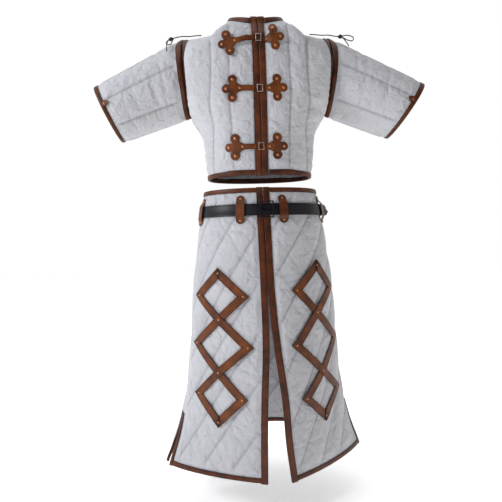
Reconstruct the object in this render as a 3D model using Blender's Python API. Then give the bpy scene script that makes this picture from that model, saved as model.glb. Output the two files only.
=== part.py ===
"""A quilted arming jacket and its long split skirt, bound in leather, in the form a wearer gives them.

Metres, +Z up. The front faces -Y and the wearer's left is +X. The origin is the centre of the neck
opening, level with the shoulder points that carry the jacket.
"""

import functools
import math

import bmesh
import bpy
import numpy as np

# Cloth and leather thicknesses
CLOTH_EDGE = 0.0045
JACKET_PAD = 0.0060
SLEEVE_PAD = 0.0055
SKIRT_PAD = 0.0065
LEATHER = 0.0018
SLIT_CLEAR = 0.0005
SEAM_HALF_GAP = 0.00015
STACK_GAP = 0.0003
BAND_GAP = 0.0008
CORNER_LIFT = 0.0012
PAD_POWER = 0.75
STRIP_OVERHANG = 0.003
SIDES = (("right", -1), ("left", 1))

# Jacket
JACKET_HEM_Z = -0.552
ARMPIT_Z = -0.335
SHOULDER_TIP = (0.246, -0.073)
SHOULDER_ROUND = 0.110
NECK_ROUND = 0.070
NECK_HALF_WIDTH = 0.086
NECK_SHARE = 0.36
TURN_V = 0.80
ARMHOLE_HALF_DEPTH = 0.078
ARMHOLE_POWER = 2.2
TORSO_POWER = 2 / 2.25
LINE_SHARES = (NECK_SHARE * 1.02, 0.69)
SAME_SHARE = 1e-6
NECK_COLUMN = 3
FRONT_STRIP = 0.018
FRONT_EDGE = SLIT_CLEAR + LEATHER + STACK_GAP
HEM_BAND = 0.014
NECK_BAND = 0.014
ARMHOLE_BAND = 0.014
CUFF_BAND = 0.0125
# Rows of the torso's grid from the hem up, as shares; the one left open is level with the underarm
TORSO_ROWS = (0.0, 0.027, 0.11, 0.21, 0.32, None, 0.51, 0.60, 0.70, 0.80, 0.86, 0.91, 0.96, 1.0)

# Sleeves
SLEEVE_LENGTH = 0.280
SLEEVE_ROWS = 9
SLEEVE_FULLNESS = 0.006
HEAD_GAP_ON_TOP = 0.0072
SLEEVE_CHANNELS = 7
COLUMNS_A_CHANNEL = 3
CUFF_ROUND = 0.545
CUFF_TAB_T = 0.27

# Skirt
WAIST_Z = -0.597
SKIRT_HEM_Z = -1.490
WAIST_BAND = 0.014
SKIRT_HEM_BAND = 0.014
SLIT_BAND = 0.013
SLIT_TOP_Z = -1.330
DIAMOND_WIDTH = 0.100
LATTICE_PER_DIAMOND = 3
SKIRT_ROWS = 35
SKIRT_TURN_DEG = 9.0
SLIT_START = 0.0034
SLIT_SPREAD = 0.012

# Belt
BELT_Z = -0.665
BELT_HEIGHT = 0.038
BELT_THICK = 0.0030
BELT_LIFT = CLOTH_EDGE + 0.0043
BELT_STATIONS = 48
TONGUE_STATIONS = 10
BUCKLE_ARC = 0.009
BUCKLE_CLEAR = 0.0026
BUCKLE = {"half_width": 0.022, "half_height": 0.0265, "bar": 0.0055, "prong": 0.0022, "thick": 0.0040}

# Laces
LACE_DIAMETER = 0.0028

# Height, half width, front depth and back depth of the torso ring below the armholes and above them
TORSO = {
    "z": (-0.552, -0.480, -0.400, -0.335, -0.260, -0.180, -0.100, -0.040),
    "half_width": (0.171, 0.177, 0.188, 0.224, 0.233, 0.240, 0.244, 0.244),
    "front": (0.127, 0.131, 0.138, 0.142, 0.143, 0.138, 0.126, 0.108),
    "back": (0.112, 0.116, 0.126, 0.134, 0.138, 0.134, 0.122, 0.105),
}

# The shoulder seam: distance from the centre line and height
SHOULDER = {
    "x": (0.086, 0.097, 0.115, 0.140, 0.172, 0.210, 0.246),
    "z": (-0.004, -0.026, -0.040, -0.050, -0.058, -0.065, -0.073),
}

# What differs between the front and the back of the torso
HALVES = {
    "front": {"name": "front", "sign": -1, "neck_depth": 0.094, "neck_drop": 0.036},
    "back": {"name": "back", "sign": 1, "neck_depth": 0.072, "neck_drop": -0.002},
}

# The skirt ring at seven heights: half width, front and back depth, roundness of each half, half opening
SKIRT = {
    "z": (-0.597, -0.760, -0.920, -1.090, -1.250, -1.380, -1.490),
    "half_width": (0.186, 0.211, 0.232, 0.245, 0.262, 0.292, 0.336),
    "front": (0.132, 0.158, 0.180, 0.200, 0.215, 0.224, 0.230),
    "back": (0.124, 0.168, 0.194, 0.212, 0.232, 0.250, 0.268),
    "front_power": (2.10, 2.00, 1.85, 1.65, 1.50, 1.36, 1.26),
    "back_power": (2.10, 2.10, 2.10, 2.05, 2.00, 1.95, 1.90),
    "turn": (0.0, 0.05, 0.15, 0.35, 0.60, 0.82, 1.0),
    "right_opening": (0.0027, 0.0027, 0.0034, 0.0100, 0.0280, 0.0420, 0.0520),
    "left_opening": (0.0027, 0.0027, 0.0032, 0.0090, 0.0190, 0.0190, 0.0260),
}

# Each sleeve: its gap from the armhole, then its cuff's centre, the lean of its plane, height and depth
CUFFS = (
    {"side": "right", "sign": -1, "gap": 0.0129,
     "x": 0.508, "y": 0.000, "z": -0.322, "lean": 25, "high": 0.192, "deep": 0.150},
    {"side": "left", "sign": 1, "gap": 0.0138,
     "x": 0.500, "y": -0.045, "z": -0.338, "lean": 35, "high": 0.205, "deep": 0.156},
)

# The clasps from the top down: height, then for each side the trefoil's distance, rise and tilt
CLASPS = (
    {"z": -0.118, "right": (0.096, -0.022, 14), "left": (0.046, -0.006, -6)},
    {"z": -0.283, "right": (0.084, 0.000, 0), "left": (0.050, 0.000, 0)},
    {"z": -0.464, "right": (0.078, 0.000, 0), "left": (0.046, 0.000, 0)},
)

# Half outline of a trefoil along its strap: distance from the centre towards the lobe, half height
TREFOIL = {
    "along": (-0.033, -0.031, -0.026, -0.020, -0.0155, -0.015, -0.012, -0.006, 0.0, 0.006, 0.012, 0.015,
              0.019, 0.026),
    "half": (0.0035, 0.0085, 0.0120, 0.0125, 0.0105, 0.0250, 0.0350, 0.0405, 0.0420, 0.0405, 0.0350, 0.0250,
             0.0130, 0.0095),
}
CLASP_RING = {"across": 0.0190, "high": 0.0240, "bar": 0.0032, "thick": 0.0030}

# A chain of three lozenges in strap: heights of the joins and their centres, half width of each lozenge
LOZENGES = {
    "right": {"joints": (-0.864, -1.007, -1.171, -1.322), "centres": (0.149, 0.153, 0.157, 0.153),
              "half_widths": (0.080, 0.094, 0.080)},
    "left": {"joints": (-0.848, -0.996, -1.183, -1.327), "centres": (0.165, 0.156, 0.161, 0.157),
             "half_widths": (0.074, 0.091, 0.080)},
}
LOZENGE_STRAP = 0.021
LOZENGE_THICK = 0.0020
LOZENGE_LIFT = 0.0018
LOZENGE_NOTCH = 0.72
LOZENGE_CUTS = 4

# Belt loops: name, arc from the centre front along that half of the waist, side
LOOPS = (
    ("front_right", 0.071, "right"),
    ("front_left", 0.060, "left"),
    ("side_right", 0.225, "right"),
    ("side_left", 0.225, "left"),
    ("back_right", 0.400, "right"),
    ("back_left", 0.400, "left"),
)
LOOP_WIDTH = 0.027
LOOP_CLEAR = 0.0032
LOOP_TOP_LIFT = CLOTH_EDGE + 0.0034
LOOP_TOP_Z = -0.619
LOOP_BOTTOM_Z = -0.709
LOOP_THICK = 0.002
LOOP_FOOT_LIFT = 0.0005
LOOP_OVER = 0.002
# A loop's rounded end: distance from its tip, share of the width
LOOP_END = ((0.0, 0.45), (0.004, 0.85), (0.011, 1.0))

# The belt's free end past the last stop on the waist: how far on, how far out, share of the height
TONGUE = ((0.016, 0.0010, 1.0), (0.032, 0.0035, 1.0), (0.042, 0.0055, 0.86), (0.049, 0.0070, 0.58),
          (0.0525, 0.0078, 0.20))
CLASP_THICK = 0.0024
CLASP_RING_LIFT = (0.0019, 0.0004, 0.0010)
CLASP_END = 0.0125
CLASP_STRAP_HALF = 0.0095
CLASP_STRAP_STEP = 0.012
CLASP_PAD_LIFT = (0.0056, 0.0012, 0.0012)

# The cuff tab past its root: distance from the cuff's edge, half width, rise
CUFF_TAB = ((0.012, 0.0085, 0.0006), (0.018, 0.0075, 0.0030), (0.024, 0.0045, 0.0040),
            (0.027, 0.0018, 0.0042))

# The lace of each shoulder, on its own side, from the body over both bands to the knot and the free end
LACE_ROUTES = {
    "right": (
        (0.186, -0.010, -0.0568), (0.205, -0.012, -0.0586), (0.228, -0.012, -0.0608),
        (0.250, -0.012, -0.0605),
        (0.272, -0.014, -0.065), (0.288, -0.020, -0.073), (0.300, -0.030, -0.083), (0.302, -0.040, -0.096),
        (0.292, -0.046, -0.102), (0.283, -0.044, -0.094), (0.286, -0.036, -0.081), (0.294, -0.040, -0.083),
        (0.299, -0.056, -0.104), (0.298, -0.068, -0.132),
    ),
    "left": (
        (0.186, -0.010, -0.0568), (0.205, -0.012, -0.0586), (0.228, -0.012, -0.0608),
        (0.250, -0.012, -0.0605),
        (0.272, -0.014, -0.065), (0.292, -0.014, -0.067), (0.314, -0.018, -0.064), (0.334, -0.024, -0.073),
        (0.330, -0.030, -0.088), (0.312, -0.032, -0.086), (0.298, -0.032, -0.078), (0.294, -0.040, -0.081),
        (0.300, -0.054, -0.098), (0.308, -0.066, -0.120),
    ),
}

COLOURS = {
    "cloth": ((0.80, 0.82, 0.86), 0.85, 0.0),
    "leather": ((0.16, 0.045, 0.012), 0.45, 0.0),
    "strap": ((0.19, 0.058, 0.016), 0.42, 0.0),
    "belt": ((0.010, 0.010, 0.016), 0.45, 0.0),
    "steel": ((0.55, 0.50, 0.42), 0.30, 1.0),
    "lace": ((0.008, 0.008, 0.010), 0.75, 0.0),
}


def clear_scene():
    for obj in list(bpy.data.objects):
        bpy.data.objects.remove(obj, do_unlink=True)


def material(kind, name):
    colour, roughness, metallic = COLOURS[kind]
    made = bpy.data.materials.new(name)
    made.use_nodes = True
    shader = made.node_tree.nodes["Principled BSDF"]
    shader.inputs["Base Color"].default_value = (*colour, 1)
    shader.inputs["Roughness"].default_value = roughness
    shader.inputs["Metallic"].default_value = metallic
    return made


def unit(vector):
    return vector / max(np.linalg.norm(vector), 1e-12)


def smooth(t):
    t = min(max(t, 0.0), 1.0)
    return t * t * (3 - 2 * t)


def table(rows, key, z):
    """A value of the table at height z, on a smooth curve through its rows."""
    heights, values = rows["z"], rows[key]
    if heights[0] > heights[-1]:
        heights, values = heights[::-1], values[::-1]
    z = min(max(z, heights[0]), heights[-1])
    i = min(max(int(np.searchsorted(heights, z)) - 1, 0), len(heights) - 2)
    slopes = []
    for k in (i, i + 1):
        low, high = max(k - 1, 0), min(k + 1, len(heights) - 1)
        slopes.append((values[high] - values[low]) / (heights[high] - heights[low]))
    span = heights[i + 1] - heights[i]
    t = (z - heights[i]) / span
    rise = values[i + 1] - values[i]
    return (values[i] + rise * t * t * (3 - 2 * t)
            + span * (slopes[0] * t * (1 - t) ** 2 - slopes[1] * t * t * (1 - t)))


def add_mesh(bm, name, kind):
    bmesh.ops.recalc_face_normals(bm, faces=bm.faces)
    mesh = bpy.data.meshes.new(name)
    bm.to_mesh(mesh)
    bm.free()
    mesh.shade_smooth()
    mesh.set_sharp_from_angle(angle=math.radians(35))
    obj = bpy.data.objects.new(name, mesh)
    obj.data.materials.append(material(kind, name))
    bpy.context.collection.objects.link(obj)
    return obj


def zip_rows(bm, row_a, row_b):
    """Triangles between two rows of (parameter, vertex), which may hold different numbers of points."""
    i = j = 0
    while i < len(row_a) - 1 or j < len(row_b) - 1:
        step_a = row_a[i + 1][0] if i < len(row_a) - 1 else math.inf
        step_b = row_b[j + 1][0] if j < len(row_b) - 1 else math.inf
        tied = math.isclose(step_a, step_b) and step_a > 0
        if tied or (step_a < step_b and not math.isclose(step_a, step_b)):
            bm.faces.new((row_a[i][1], row_a[i + 1][1], row_b[j][1]))
            i += 1
        else:
            bm.faces.new((row_b[j][1], row_a[i][1], row_b[j + 1][1]))
            j += 1


def wall(name, kind, outer, inner, closed=False):
    """A closed wall from rows of (parameter, point), each list of rows with the height parameter first."""
    bm = bmesh.new()
    skins = []
    for rows in (outer, inner):
        skin = []
        for height, row in rows:
            made = [(t, bm.verts.new(tuple(p))) for t, p in row]
            if closed:
                made.append((made[0][0] + 1.0, made[0][1]))
            skin.append((height, made))
        skins.append(skin)
    for skin in skins:
        for (_, low), (_, high) in zip(skin, skin[1:]):
            zip_rows(bm, low, high)
    for end in (0, -1):
        zip_rows(bm, skins[0][end][1], skins[1][end][1])
    if not closed:
        for end in (0, -1):
            sides = [[(height, row[end][1]) for height, row in skin] for skin in skins]
            zip_rows(bm, *sides)
    return add_mesh(bm, name, kind)


def sweep(name, kind, sections, closed=False, splits=None):
    """A solid through sections of one even count, which run out along one skin and back along the other."""
    bm = bmesh.new()
    rings = [[bm.verts.new(tuple(p)) for p in section] for section in sections]
    pairs = list(zip(rings, rings[1:]))
    if closed:
        pairs.append((rings[-1], rings[0]))
    for index, (a, b) in enumerate(pairs):
        for k in range(len(a)):
            n = (k + 1) % len(a)
            split = splits(index, k) if splits else None
            if split is None:
                bm.faces.new((a[k], a[n], b[n], b[k]))
            elif split:
                bm.faces.new((a[k], a[n], b[n]))
                bm.faces.new((a[k], b[n], b[k]))
            else:
                bm.faces.new((a[k], a[n], b[k]))
                bm.faces.new((a[n], b[n], b[k]))
    if not closed:
        for ring in (rings[0], rings[-1]):
            last = len(ring) - 1
            for k in range(len(ring) // 2 - 1):
                bm.faces.new((ring[k], ring[k + 1], ring[last - k - 1], ring[last - k]))
    return add_mesh(bm, name, kind)


def move_along(line, start, end):
    """The line of stations with its ends drawn in (or, where negative, carried on) by these lengths."""
    line = [dict(at) for at in line]
    for length, first, second in ((start, 0, 1), (end, -1, -2)):
        if not length:
            continue
        span = line[second]["edge"] - line[first]["edge"]
        share = length / np.linalg.norm(span)
        for key in ("edge", "next"):
            line[first][key] = line[first][key] + (line[second][key] - line[first][key]) * share
    return line


def station(edge, beyond, sign, from_edge):
    """A stop along a bound edge, from grid points; from_edge says which way the cloth's facets split."""
    return {
        "edge": mirrored(edge[1], sign),
        "next": mirrored(beyond[1], sign),
        "normal": mirrored(edge[2], sign),
        "next_normal": mirrored(beyond[2], sign),
        "from_edge": from_edge,
        "lift": 0.0,
    }


def binding(name, line, start=0.0, end=0.0, closed=False, kind="leather"):
    """A leather strip folded over the cloth's edge, from stations on the cloth's own points."""
    line = move_along(line, start, end)
    sections = []
    for at in line:
        edge, beyond, up, up_next = at["edge"], at["next"], at["normal"], at["next_normal"]
        inward = unit(beyond - edge)
        under = SLIT_CLEAR + min(at["lift"], SLIT_CLEAR)
        top = CLOTH_EDGE + SLIT_CLEAR + at["lift"]
        fold = SLIT_CLEAR + LEATHER
        sections.append((
            beyond + up_next * top,
            edge - inward * SLIT_CLEAR + up * top,
            edge - inward * SLIT_CLEAR - up * under,
            beyond - up_next * under,
            beyond - up_next * (under + LEATHER),
            edge - inward * fold - up * (under + LEATHER),
            edge - inward * fold + up * (top + LEATHER),
            beyond + up_next * (top + LEATHER),
        ))

    def splits(index, k):
        # faces that join an edge point to a next point follow the cloth under them
        if k not in (0, 2, 4, 6):
            return None
        edge_first = k in (2, 6)
        return edge_first == line[index]["from_edge"]

    return sweep(name, kind, sections, closed, splits)


def mirrored(point, sign):
    return np.array((point[0] * sign, point[1], point[2]))


# The torso. u runs from the centre line to the side seam and armhole, v from the hem to the top edge.

def armhole_edge(z, half):
    """Half width and depth of the side edge of a torso half at height z."""
    if z <= ARMPIT_Z:
        return table(TORSO, "half_width", z), 0.0
    share = (z - ARMPIT_Z) / (SHOULDER_TIP[1] - ARMPIT_Z)
    depth = ARMHOLE_HALF_DEPTH * (1 - abs(2 * min(share, 1.0) - 1) ** ARMHOLE_POWER)
    return table(TORSO, "half_width", z), half["sign"] * depth


def top_edge(u, half):
    """The point of the neck edge or the shoulder seam at u."""
    if u <= NECK_SHARE:
        turn = u / NECK_SHARE * math.pi / 2
        x = NECK_HALF_WIDTH * math.sin(turn)
        y = half["sign"] * half["neck_depth"] * math.cos(turn)
        z = SHOULDER["z"][0] - half["neck_drop"] * math.cos(turn) ** 2
        return x, y, z
    x = NECK_HALF_WIDTH + (SHOULDER_TIP[0] - NECK_HALF_WIDTH) * (u - NECK_SHARE) / (1 - NECK_SHARE)
    return x, 0.0, float(np.interp(x, SHOULDER["x"], SHOULDER["z"]))


def torso_point(u, v, half):
    """The inner face of a torso half, on the wearer's left."""
    top_x, top_y, top_z = top_edge(u, half)
    shoulder = smooth((u - NECK_SHARE + 0.04) / 0.16)
    reach = NECK_ROUND + (SHOULDER_ROUND - NECK_ROUND) * shoulder
    if v <= TURN_V:
        z = JACKET_HEM_Z + (top_z - reach - JACKET_HEM_Z) * v / TURN_V
        turn = 0.0
    else:
        turn = (v - TURN_V) / (1 - TURN_V)
        rise = shoulder * math.sin(turn * math.pi / 2) + (1 - shoulder) * turn
        z = top_z - reach + reach * rise
    kept = shoulder * math.cos(turn * math.pi / 2) + (1 - shoulder) * (1 - smooth(turn))
    side_x, side_y = armhole_edge(z, half)
    across = math.sin(u * math.pi / 2) ** TORSO_POWER
    away = 1 - math.cos(u * math.pi / 2) ** TORSO_POWER if u < 1 else 1.0
    depth = half["sign"] * table(TORSO, half["name"], z)
    mixed = smooth(turn)
    x = side_x * across * (1 - mixed) + top_x * mixed
    y = (depth * kept + top_y * (1 - kept)) * (1 - away) + side_y * away
    return np.array((x, y, z))


def torso_normal(u, v, half):
    step = 0.004
    low_u, high_u = max(u - step, 0), min(u + step, 1)
    low_v, high_v = max(v - step, 0), min(v + step, 1)
    along = torso_point(high_u, v, half) - torso_point(low_u, v, half)
    up = torso_point(u, high_v, half) - torso_point(u, low_v, half)
    normal = np.cross(along, up) * -half["sign"]
    if u <= 0:
        normal[0] = 0
    # the corner of the neck counts as seam on the front, and on the back it leans with the neck's edge
    from_u = NECK_SHARE + half["sign"] * SAME_SHARE
    on_seam = (u >= 1 and (v <= ARMPIT_V or v >= 1)) or (v >= 1 and u >= from_u)
    if on_seam:
        normal[1] = 0
    return unit(normal)


def armpit_v():
    """The row share that is level with the underarm."""
    rows = np.linspace(0, TURN_V, 81)
    heights = [torso_point(1.0, v, HALVES["front"])[2] for v in rows]
    return float(np.interp(ARMPIT_Z, heights, rows))


ARMPIT_V = armpit_v()


def row_shares(v, half, lengths):
    """The u values that lie these lengths from the centre line along the row at v."""
    us = np.linspace(0, 1, 61)
    points = np.array([torso_point(u, v, half) for u in us])
    run = np.concatenate([[0], np.cumsum(np.linalg.norm(np.diff(points, axis=0), axis=1))])
    return np.interp(lengths(run[-1]), run, us), run[-1]


def torso_columns(total, half, open_centre):
    """Arc lengths of the columns: the bound edge, then each channel in three, then the bound side."""
    start = FRONT_STRIP if open_centre else 0.0
    lines = [start, *(total * share for share in LINE_SHARES), total - ARMHOLE_BAND]
    columns = [0.0] if open_centre else []
    for first, last in zip(lines, lines[1:]):
        columns += list(np.linspace(first, last, COLUMNS_A_CHANNEL + 1)[:-1])
    return np.array([*columns, lines[-1], total])


def torso_grid(half, open_centre):
    """Points, normals and pad heights of a torso half on the wearer's left, row by row."""
    grid = []
    for v in (ARMPIT_V if v is None else v for v in TORSO_ROWS):
        us, total = row_shares(v, half, lambda t: torso_columns(t, half, open_centre))
        columns = torso_columns(total, half, open_centre)
        if v >= TURN_V:
            # the seam line runs to the corner of the neck
            line = NECK_COLUMN + (1 if open_centre else 0)
            shift = smooth((v - TURN_V) / (1 - TURN_V))
            us[: line + 1] *= 1 + (NECK_SHARE / us[line] - 1) * shift
            rest = slice(line + 1, len(us) - 2)
            share = (us[rest] - us[line + 1]) / (us[-2] - us[line + 1])
            start = max(us[line + 1], us[line] + 0.05)
            us[rest] = start + share * (us[-2] - start)
        row = []
        for k, (u, s) in enumerate(zip(us, columns)):
            point = torso_point(u, v, half)
            if open_centre:
                point[0] += FRONT_EDGE * (1 - smooth(u / 0.6))
            if (u >= 1 and v <= ARMPIT_V) or (v >= 1 and u >= NECK_SHARE - SAME_SHARE):
                point[1] = half["sign"] * SEAM_HALF_GAP
            elif u >= 1 and v > ARMPIT_V:
                point[1] = half["sign"] * max(abs(point[1]), SEAM_HALF_GAP)
            row.append((u, point, torso_normal(u, v, half), torso_pad(k, s, v, total, open_centre)))
        grid.append((v, row))
    return grid


def torso_pad(k, s, v, total, open_centre):
    """Height of the padding: channels between the sewn lines, flat under every bound edge."""
    first = 1 if open_centre else 0
    if k <= 0 and open_centre:
        return 0.0
    place = (k - first) % COLUMNS_A_CHANNEL / COLUMNS_A_CHANNEL
    raised = math.sin(math.pi * place) ** PAD_POWER if place else 0.0
    if k >= first + 3 * COLUMNS_A_CHANNEL:
        raised = 0.0
    raised *= smooth((v - 0.027) / 0.06)
    raised *= smooth((0.965 - v) / 0.09)
    if open_centre:
        raised *= 0.45 + 0.55 * smooth((s - FRONT_STRIP) / 0.035)
    return JACKET_PAD * raised


def torso_walls(grid, sign):
    """Outer and inner rows for a wall. The inner face is plain, with every second column left out."""
    outer, inner = [], []
    for v, row in grid:
        border = v in (TORSO_ROWS[0], TORSO_ROWS[1], TORSO_ROWS[-2], TORSO_ROWS[-1])
        kept = {0, 1, len(row) - 2, len(row) - 1}
        outer_row = [(k * sign, mirrored(p + n * (CLOTH_EDGE + pad), sign))
                     for k, (_, p, n, pad) in enumerate(row)]
        inner_row = [(k * sign, mirrored(p, sign)) for k, (_, p, _, _) in enumerate(row)
                     if border or k in kept or k % 2]
        outer.append((v, outer_row[::sign]))
        inner.append((v, inner_row[::sign]))
    return outer, inner


def column_line(grid, k, beyond, sign, first=0):
    """Binding stations up a column of the grid, reaching to the column beyond."""
    return [station(row[k], row[beyond], sign, k != 0) for _, row in grid[first:]]


def row_line(grid, r, beyond, sign, columns):
    """Binding stations along a row of the grid, outwards, reaching to the row beyond."""
    return [station(grid[r][1][k], grid[beyond][1][k], sign, r != 0) for k in columns]


def turned_round(line):
    """The same stations from the other end, with their facet splits kept on the same stretches."""
    flags = [not at["from_edge"] for at in line]
    line = [dict(at) for at in line[::-1]]
    for at, flag in zip(line, flags[-2::-1] + flags[-1:]):
        at["from_edge"] = flag
    return line


def joined(front, back):
    """Two lines that meet at a seam, as one, with the shared station on the seam."""
    seam = dict(front[-1])
    for key in ("edge", "next", "normal", "next_normal"):
        seam[key] = (front[-1][key] + back[0][key]) / 2
    seam["next_normal"] = unit(seam["next_normal"])
    seam["normal"] = unit(seam["normal"])
    seam["from_edge"] = back[0]["from_edge"]
    return [*front[:-1], seam, *back[1:]]


def build_armhole(front, back, side, sign):
    armpit = next(i for i, (v, _) in enumerate(front) if v == ARMPIT_V)
    rise = column_line(front, -1, -2, sign, armpit)
    fall = turned_round(column_line(back, -1, -2, sign, armpit))
    ring = joined(rise, fall)
    ring = joined(ring[::-1], ring[-1:])[::-1]
    foot = ring[0]
    foot["from_edge"] = rise[0]["from_edge"]
    below = mirrored((front[armpit - 1][1][-1][1] + back[armpit - 1][1][-1][1]) / 2, sign)
    foot["next"] = foot["edge"] + unit(below - foot["edge"]) * ARMHOLE_BAND
    foot["next_normal"] = foot["normal"]
    foot["lift"] = 2 * CORNER_LIFT
    for beside in (ring[1], ring[-2]):
        beside["lift"] = CORNER_LIFT
    binding(f"armhole_binding_{side}", ring[:-1], closed=True)


def neck_line(front, back, sign):
    """Half of the neck edge, from the front strip round the shoulder point to the centre of the back."""
    fore = row_line(front, -1, -2, sign, range(1, NECK_COLUMN + 2))
    aft = turned_round(row_line(back, -1, -2, sign, range(0, NECK_COLUMN + 1)))
    point = joined(fore[-1:], aft[:1])[0]
    along_seam = front[-1][1][NECK_COLUMN + 2][1] - front[-1][1][NECK_COLUMN + 1][1]
    point["next"] = point["edge"] + unit(mirrored(along_seam, sign) * np.array((1, 0, 1))) * NECK_BAND
    point["normal"] = unit(point["normal"] * np.array((1, 0, 1)))
    point["next_normal"] = point["normal"]
    for at in (fore[-1], point, aft[0]):
        at["lift"] = CORNER_LIFT
    return [*fore, point, *aft]


def build_torso():
    front = torso_grid(HALVES["front"], True)
    back = torso_grid(HALVES["back"], False)
    width = len(front[0][1])
    necklines = []
    for side, sign in SIDES:
        wall(f"jacket_front_{side}", "cloth", *torso_walls(front, sign))
        binding(f"front_strip_{side}", column_line(front, 0, 1, sign), -STRIP_OVERHANG, -0.005)
        hem = row_line(front, 0, 1, sign, range(1, width))
        binding(f"hem_binding_{side}", hem, BAND_GAP, STACK_GAP)
        necklines.append(neck_line(front, back, sign))
        build_armhole(front, back, side, sign)
    halves = [torso_walls(back, sign) for sign in (-1, 1)]
    whole = [[(v, left[:-1] + right) for (v, left), (_, right) in zip(*pair)] for pair in zip(*halves)]
    wall("jacket_back", "cloth", *whole)
    right, left = (row_line(back, 0, 1, sign, range(0, width - 1)) for sign in (-1, 1))
    binding("hem_binding_back", joined(turned_round(right), left), STACK_GAP, STACK_GAP)
    binding("neck_binding", joined(necklines[0], turned_round(necklines[1])), BAND_GAP, BAND_GAP)


# The sleeves. t runs round from the underarm by the front, w from the sleeve head to the cuff.

def sleeve_point(t, w, cuff):
    """The inner face of a sleeve, on its own side."""
    turn = 2 * math.pi * t
    share = (1 - math.cos(turn)) / 2
    z = ARMPIT_Z + share * (SHOULDER_TIP[1] - ARMPIT_Z)
    away = 1 - abs(math.cos(turn)) ** ARMHOLE_POWER
    gap = cuff["gap"] + (HEAD_GAP_ON_TOP - cuff["gap"]) * smooth((share - 0.86) / 0.14)
    head = np.array((table(TORSO, "half_width", z) + gap, 0, z))
    head[1] = -math.copysign(ARMHOLE_HALF_DEPTH * away, math.sin(turn))
    lean = math.radians(cuff["lean"])
    up = np.array((math.sin(lean), 0, math.cos(lean))) * cuff["high"] / 2
    deep = np.array((0, cuff["deep"] / 2, 0))
    rim = np.array((cuff["x"], cuff["y"], cuff["z"])) - up * math.cos(turn) - deep * math.sin(turn)
    point = head * (1 - w) + rim * w
    fullness = 4 * w * (1 - w)
    point[1] -= SLEEVE_FULLNESS * fullness * math.sin(turn)
    return point


def sleeve_normal(t, w, cuff):
    step = 0.01
    low, high = max(w - step, 0), min(w + step, 1)
    round_it = sleeve_point(t + step, w, cuff) - sleeve_point(t - step, w, cuff)
    along = sleeve_point(t, high, cuff) - sleeve_point(t, low, cuff)
    return unit(np.cross(along, round_it))


def sleeve_grid(cuff):
    head_share = ARMHOLE_BAND / SLEEVE_LENGTH
    cuff_share = CUFF_BAND / SLEEVE_LENGTH
    rows = [0.0, *np.linspace(head_share, 1 - cuff_share, SLEEVE_ROWS), 1.0]
    columns = SLEEVE_CHANNELS * COLUMNS_A_CHANNEL
    grid = []
    for w in rows:
        flat = smooth((w - head_share) / 0.10) * smooth((1 - cuff_share - w) / 0.10)
        row = []
        for k in range(columns):
            t = k / columns
            place = k % COLUMNS_A_CHANNEL / COLUMNS_A_CHANNEL
            raised = math.sin(math.pi * place) ** PAD_POWER if place else 0.0
            row.append((t, sleeve_point(t, w, cuff), sleeve_normal(t, w, cuff), SLEEVE_PAD * raised * flat))
        grid.append((w, row))
    return grid


def ring_line(grid, r, beyond, sign):
    """Binding stations all round a row of a tube's grid."""
    return [station(grid[r][1][k], grid[beyond][1][k], sign, r != 0) for k in range(len(grid[r][1]))]


def build_sleeve(cuff):
    side, sign = cuff["side"], cuff["sign"]
    grid = sleeve_grid(cuff)
    outer, inner = [], []
    for r, (w, row) in enumerate(grid):
        border = r in (0, 1, len(grid) - 2, len(grid) - 1)
        outer.append((w, [(t + 1, mirrored(p + n * (CLOTH_EDGE + pad), sign)) for t, p, n, pad in row]))
        plain = [(t + 1, mirrored(p, sign)) for k, (t, p, _, _) in enumerate(row) if border or k % 3 == 0]
        inner.append((w, plain))
    kept = [0, 1, *range(3, len(grid) - 2, 3), len(grid) - 2, len(grid) - 1]
    wall(f"sleeve_{side}", "cloth", outer, [inner[r] for r in kept], closed=True)
    binding(f"sleeve_head_binding_{side}", ring_line(grid, 0, 1, sign), closed=True)
    binding(f"cuff_binding_{side}", ring_line(grid, -1, -2, sign), closed=True)
    build_cuff_tab(cuff, side, sign)


def strap(name, kind, stops, place, thick, spans=1):
    """A flat strip from stops of (along, low side, high side, lift), laid by place on what is under it."""
    sections = []
    for along, low, high, lift in stops:
        across = [low + (high - low) * k / spans for k in range(spans + 1)]
        under = [place(along, a, lift) for a in across]
        over = [place(along, a, lift + thick) for a in across[::-1]]
        sections.append(under + over)
    return sweep(name, kind, sections)


def build_cuff_tab(cuff, side, sign):
    """A small riveted leather tab that reaches from the cuff's binding on to the front of the sleeve."""
    reach = 1 / SLEEVE_LENGTH
    base = CLOTH_EDGE + SLIT_CLEAR + LEATHER + STACK_GAP

    def place(along, across, lift):
        t = CUFF_TAB_T + across / CUFF_ROUND
        w = 1 - along * reach
        return mirrored(sleeve_point(t, w, cuff) + sleeve_normal(t, w, cuff) * lift, sign)

    stops = [(0.002, -0.008, 0.008, base)]
    stops += [(along, -half, half, base + rise) for along, half, rise in CUFF_TAB]
    strap(f"cuff_tab_{side}", "strap", stops, place, LEATHER)


# The skirt. s runs along the ring from the front edge, or from the centre of the back.

def ring_point(share, z, half):
    """The skirt ring before it is turned, a quarter of it from the centre line to the side seam."""
    power = 2 / table(SKIRT, f"{half}_power", z)
    turn = share * math.pi / 2
    x = table(SKIRT, "half_width", z) * math.sin(turn) ** power
    y = table(SKIRT, half, z) * max(math.cos(turn), 0.0) ** power
    return np.array((x, y if half == "back" else -y, z))


def turned(point, z, sign):
    """The point on its side of the ring, with the ring turned as the skirt hangs."""
    angle = math.radians(SKIRT_TURN_DEG) * table(SKIRT, "turn", z)
    x, y = point[0] * sign, point[1]
    across = x * math.cos(angle) - y * math.sin(angle)
    depth = x * math.sin(angle) + y * math.cos(angle)
    return np.array((across, depth, point[2]))


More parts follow.
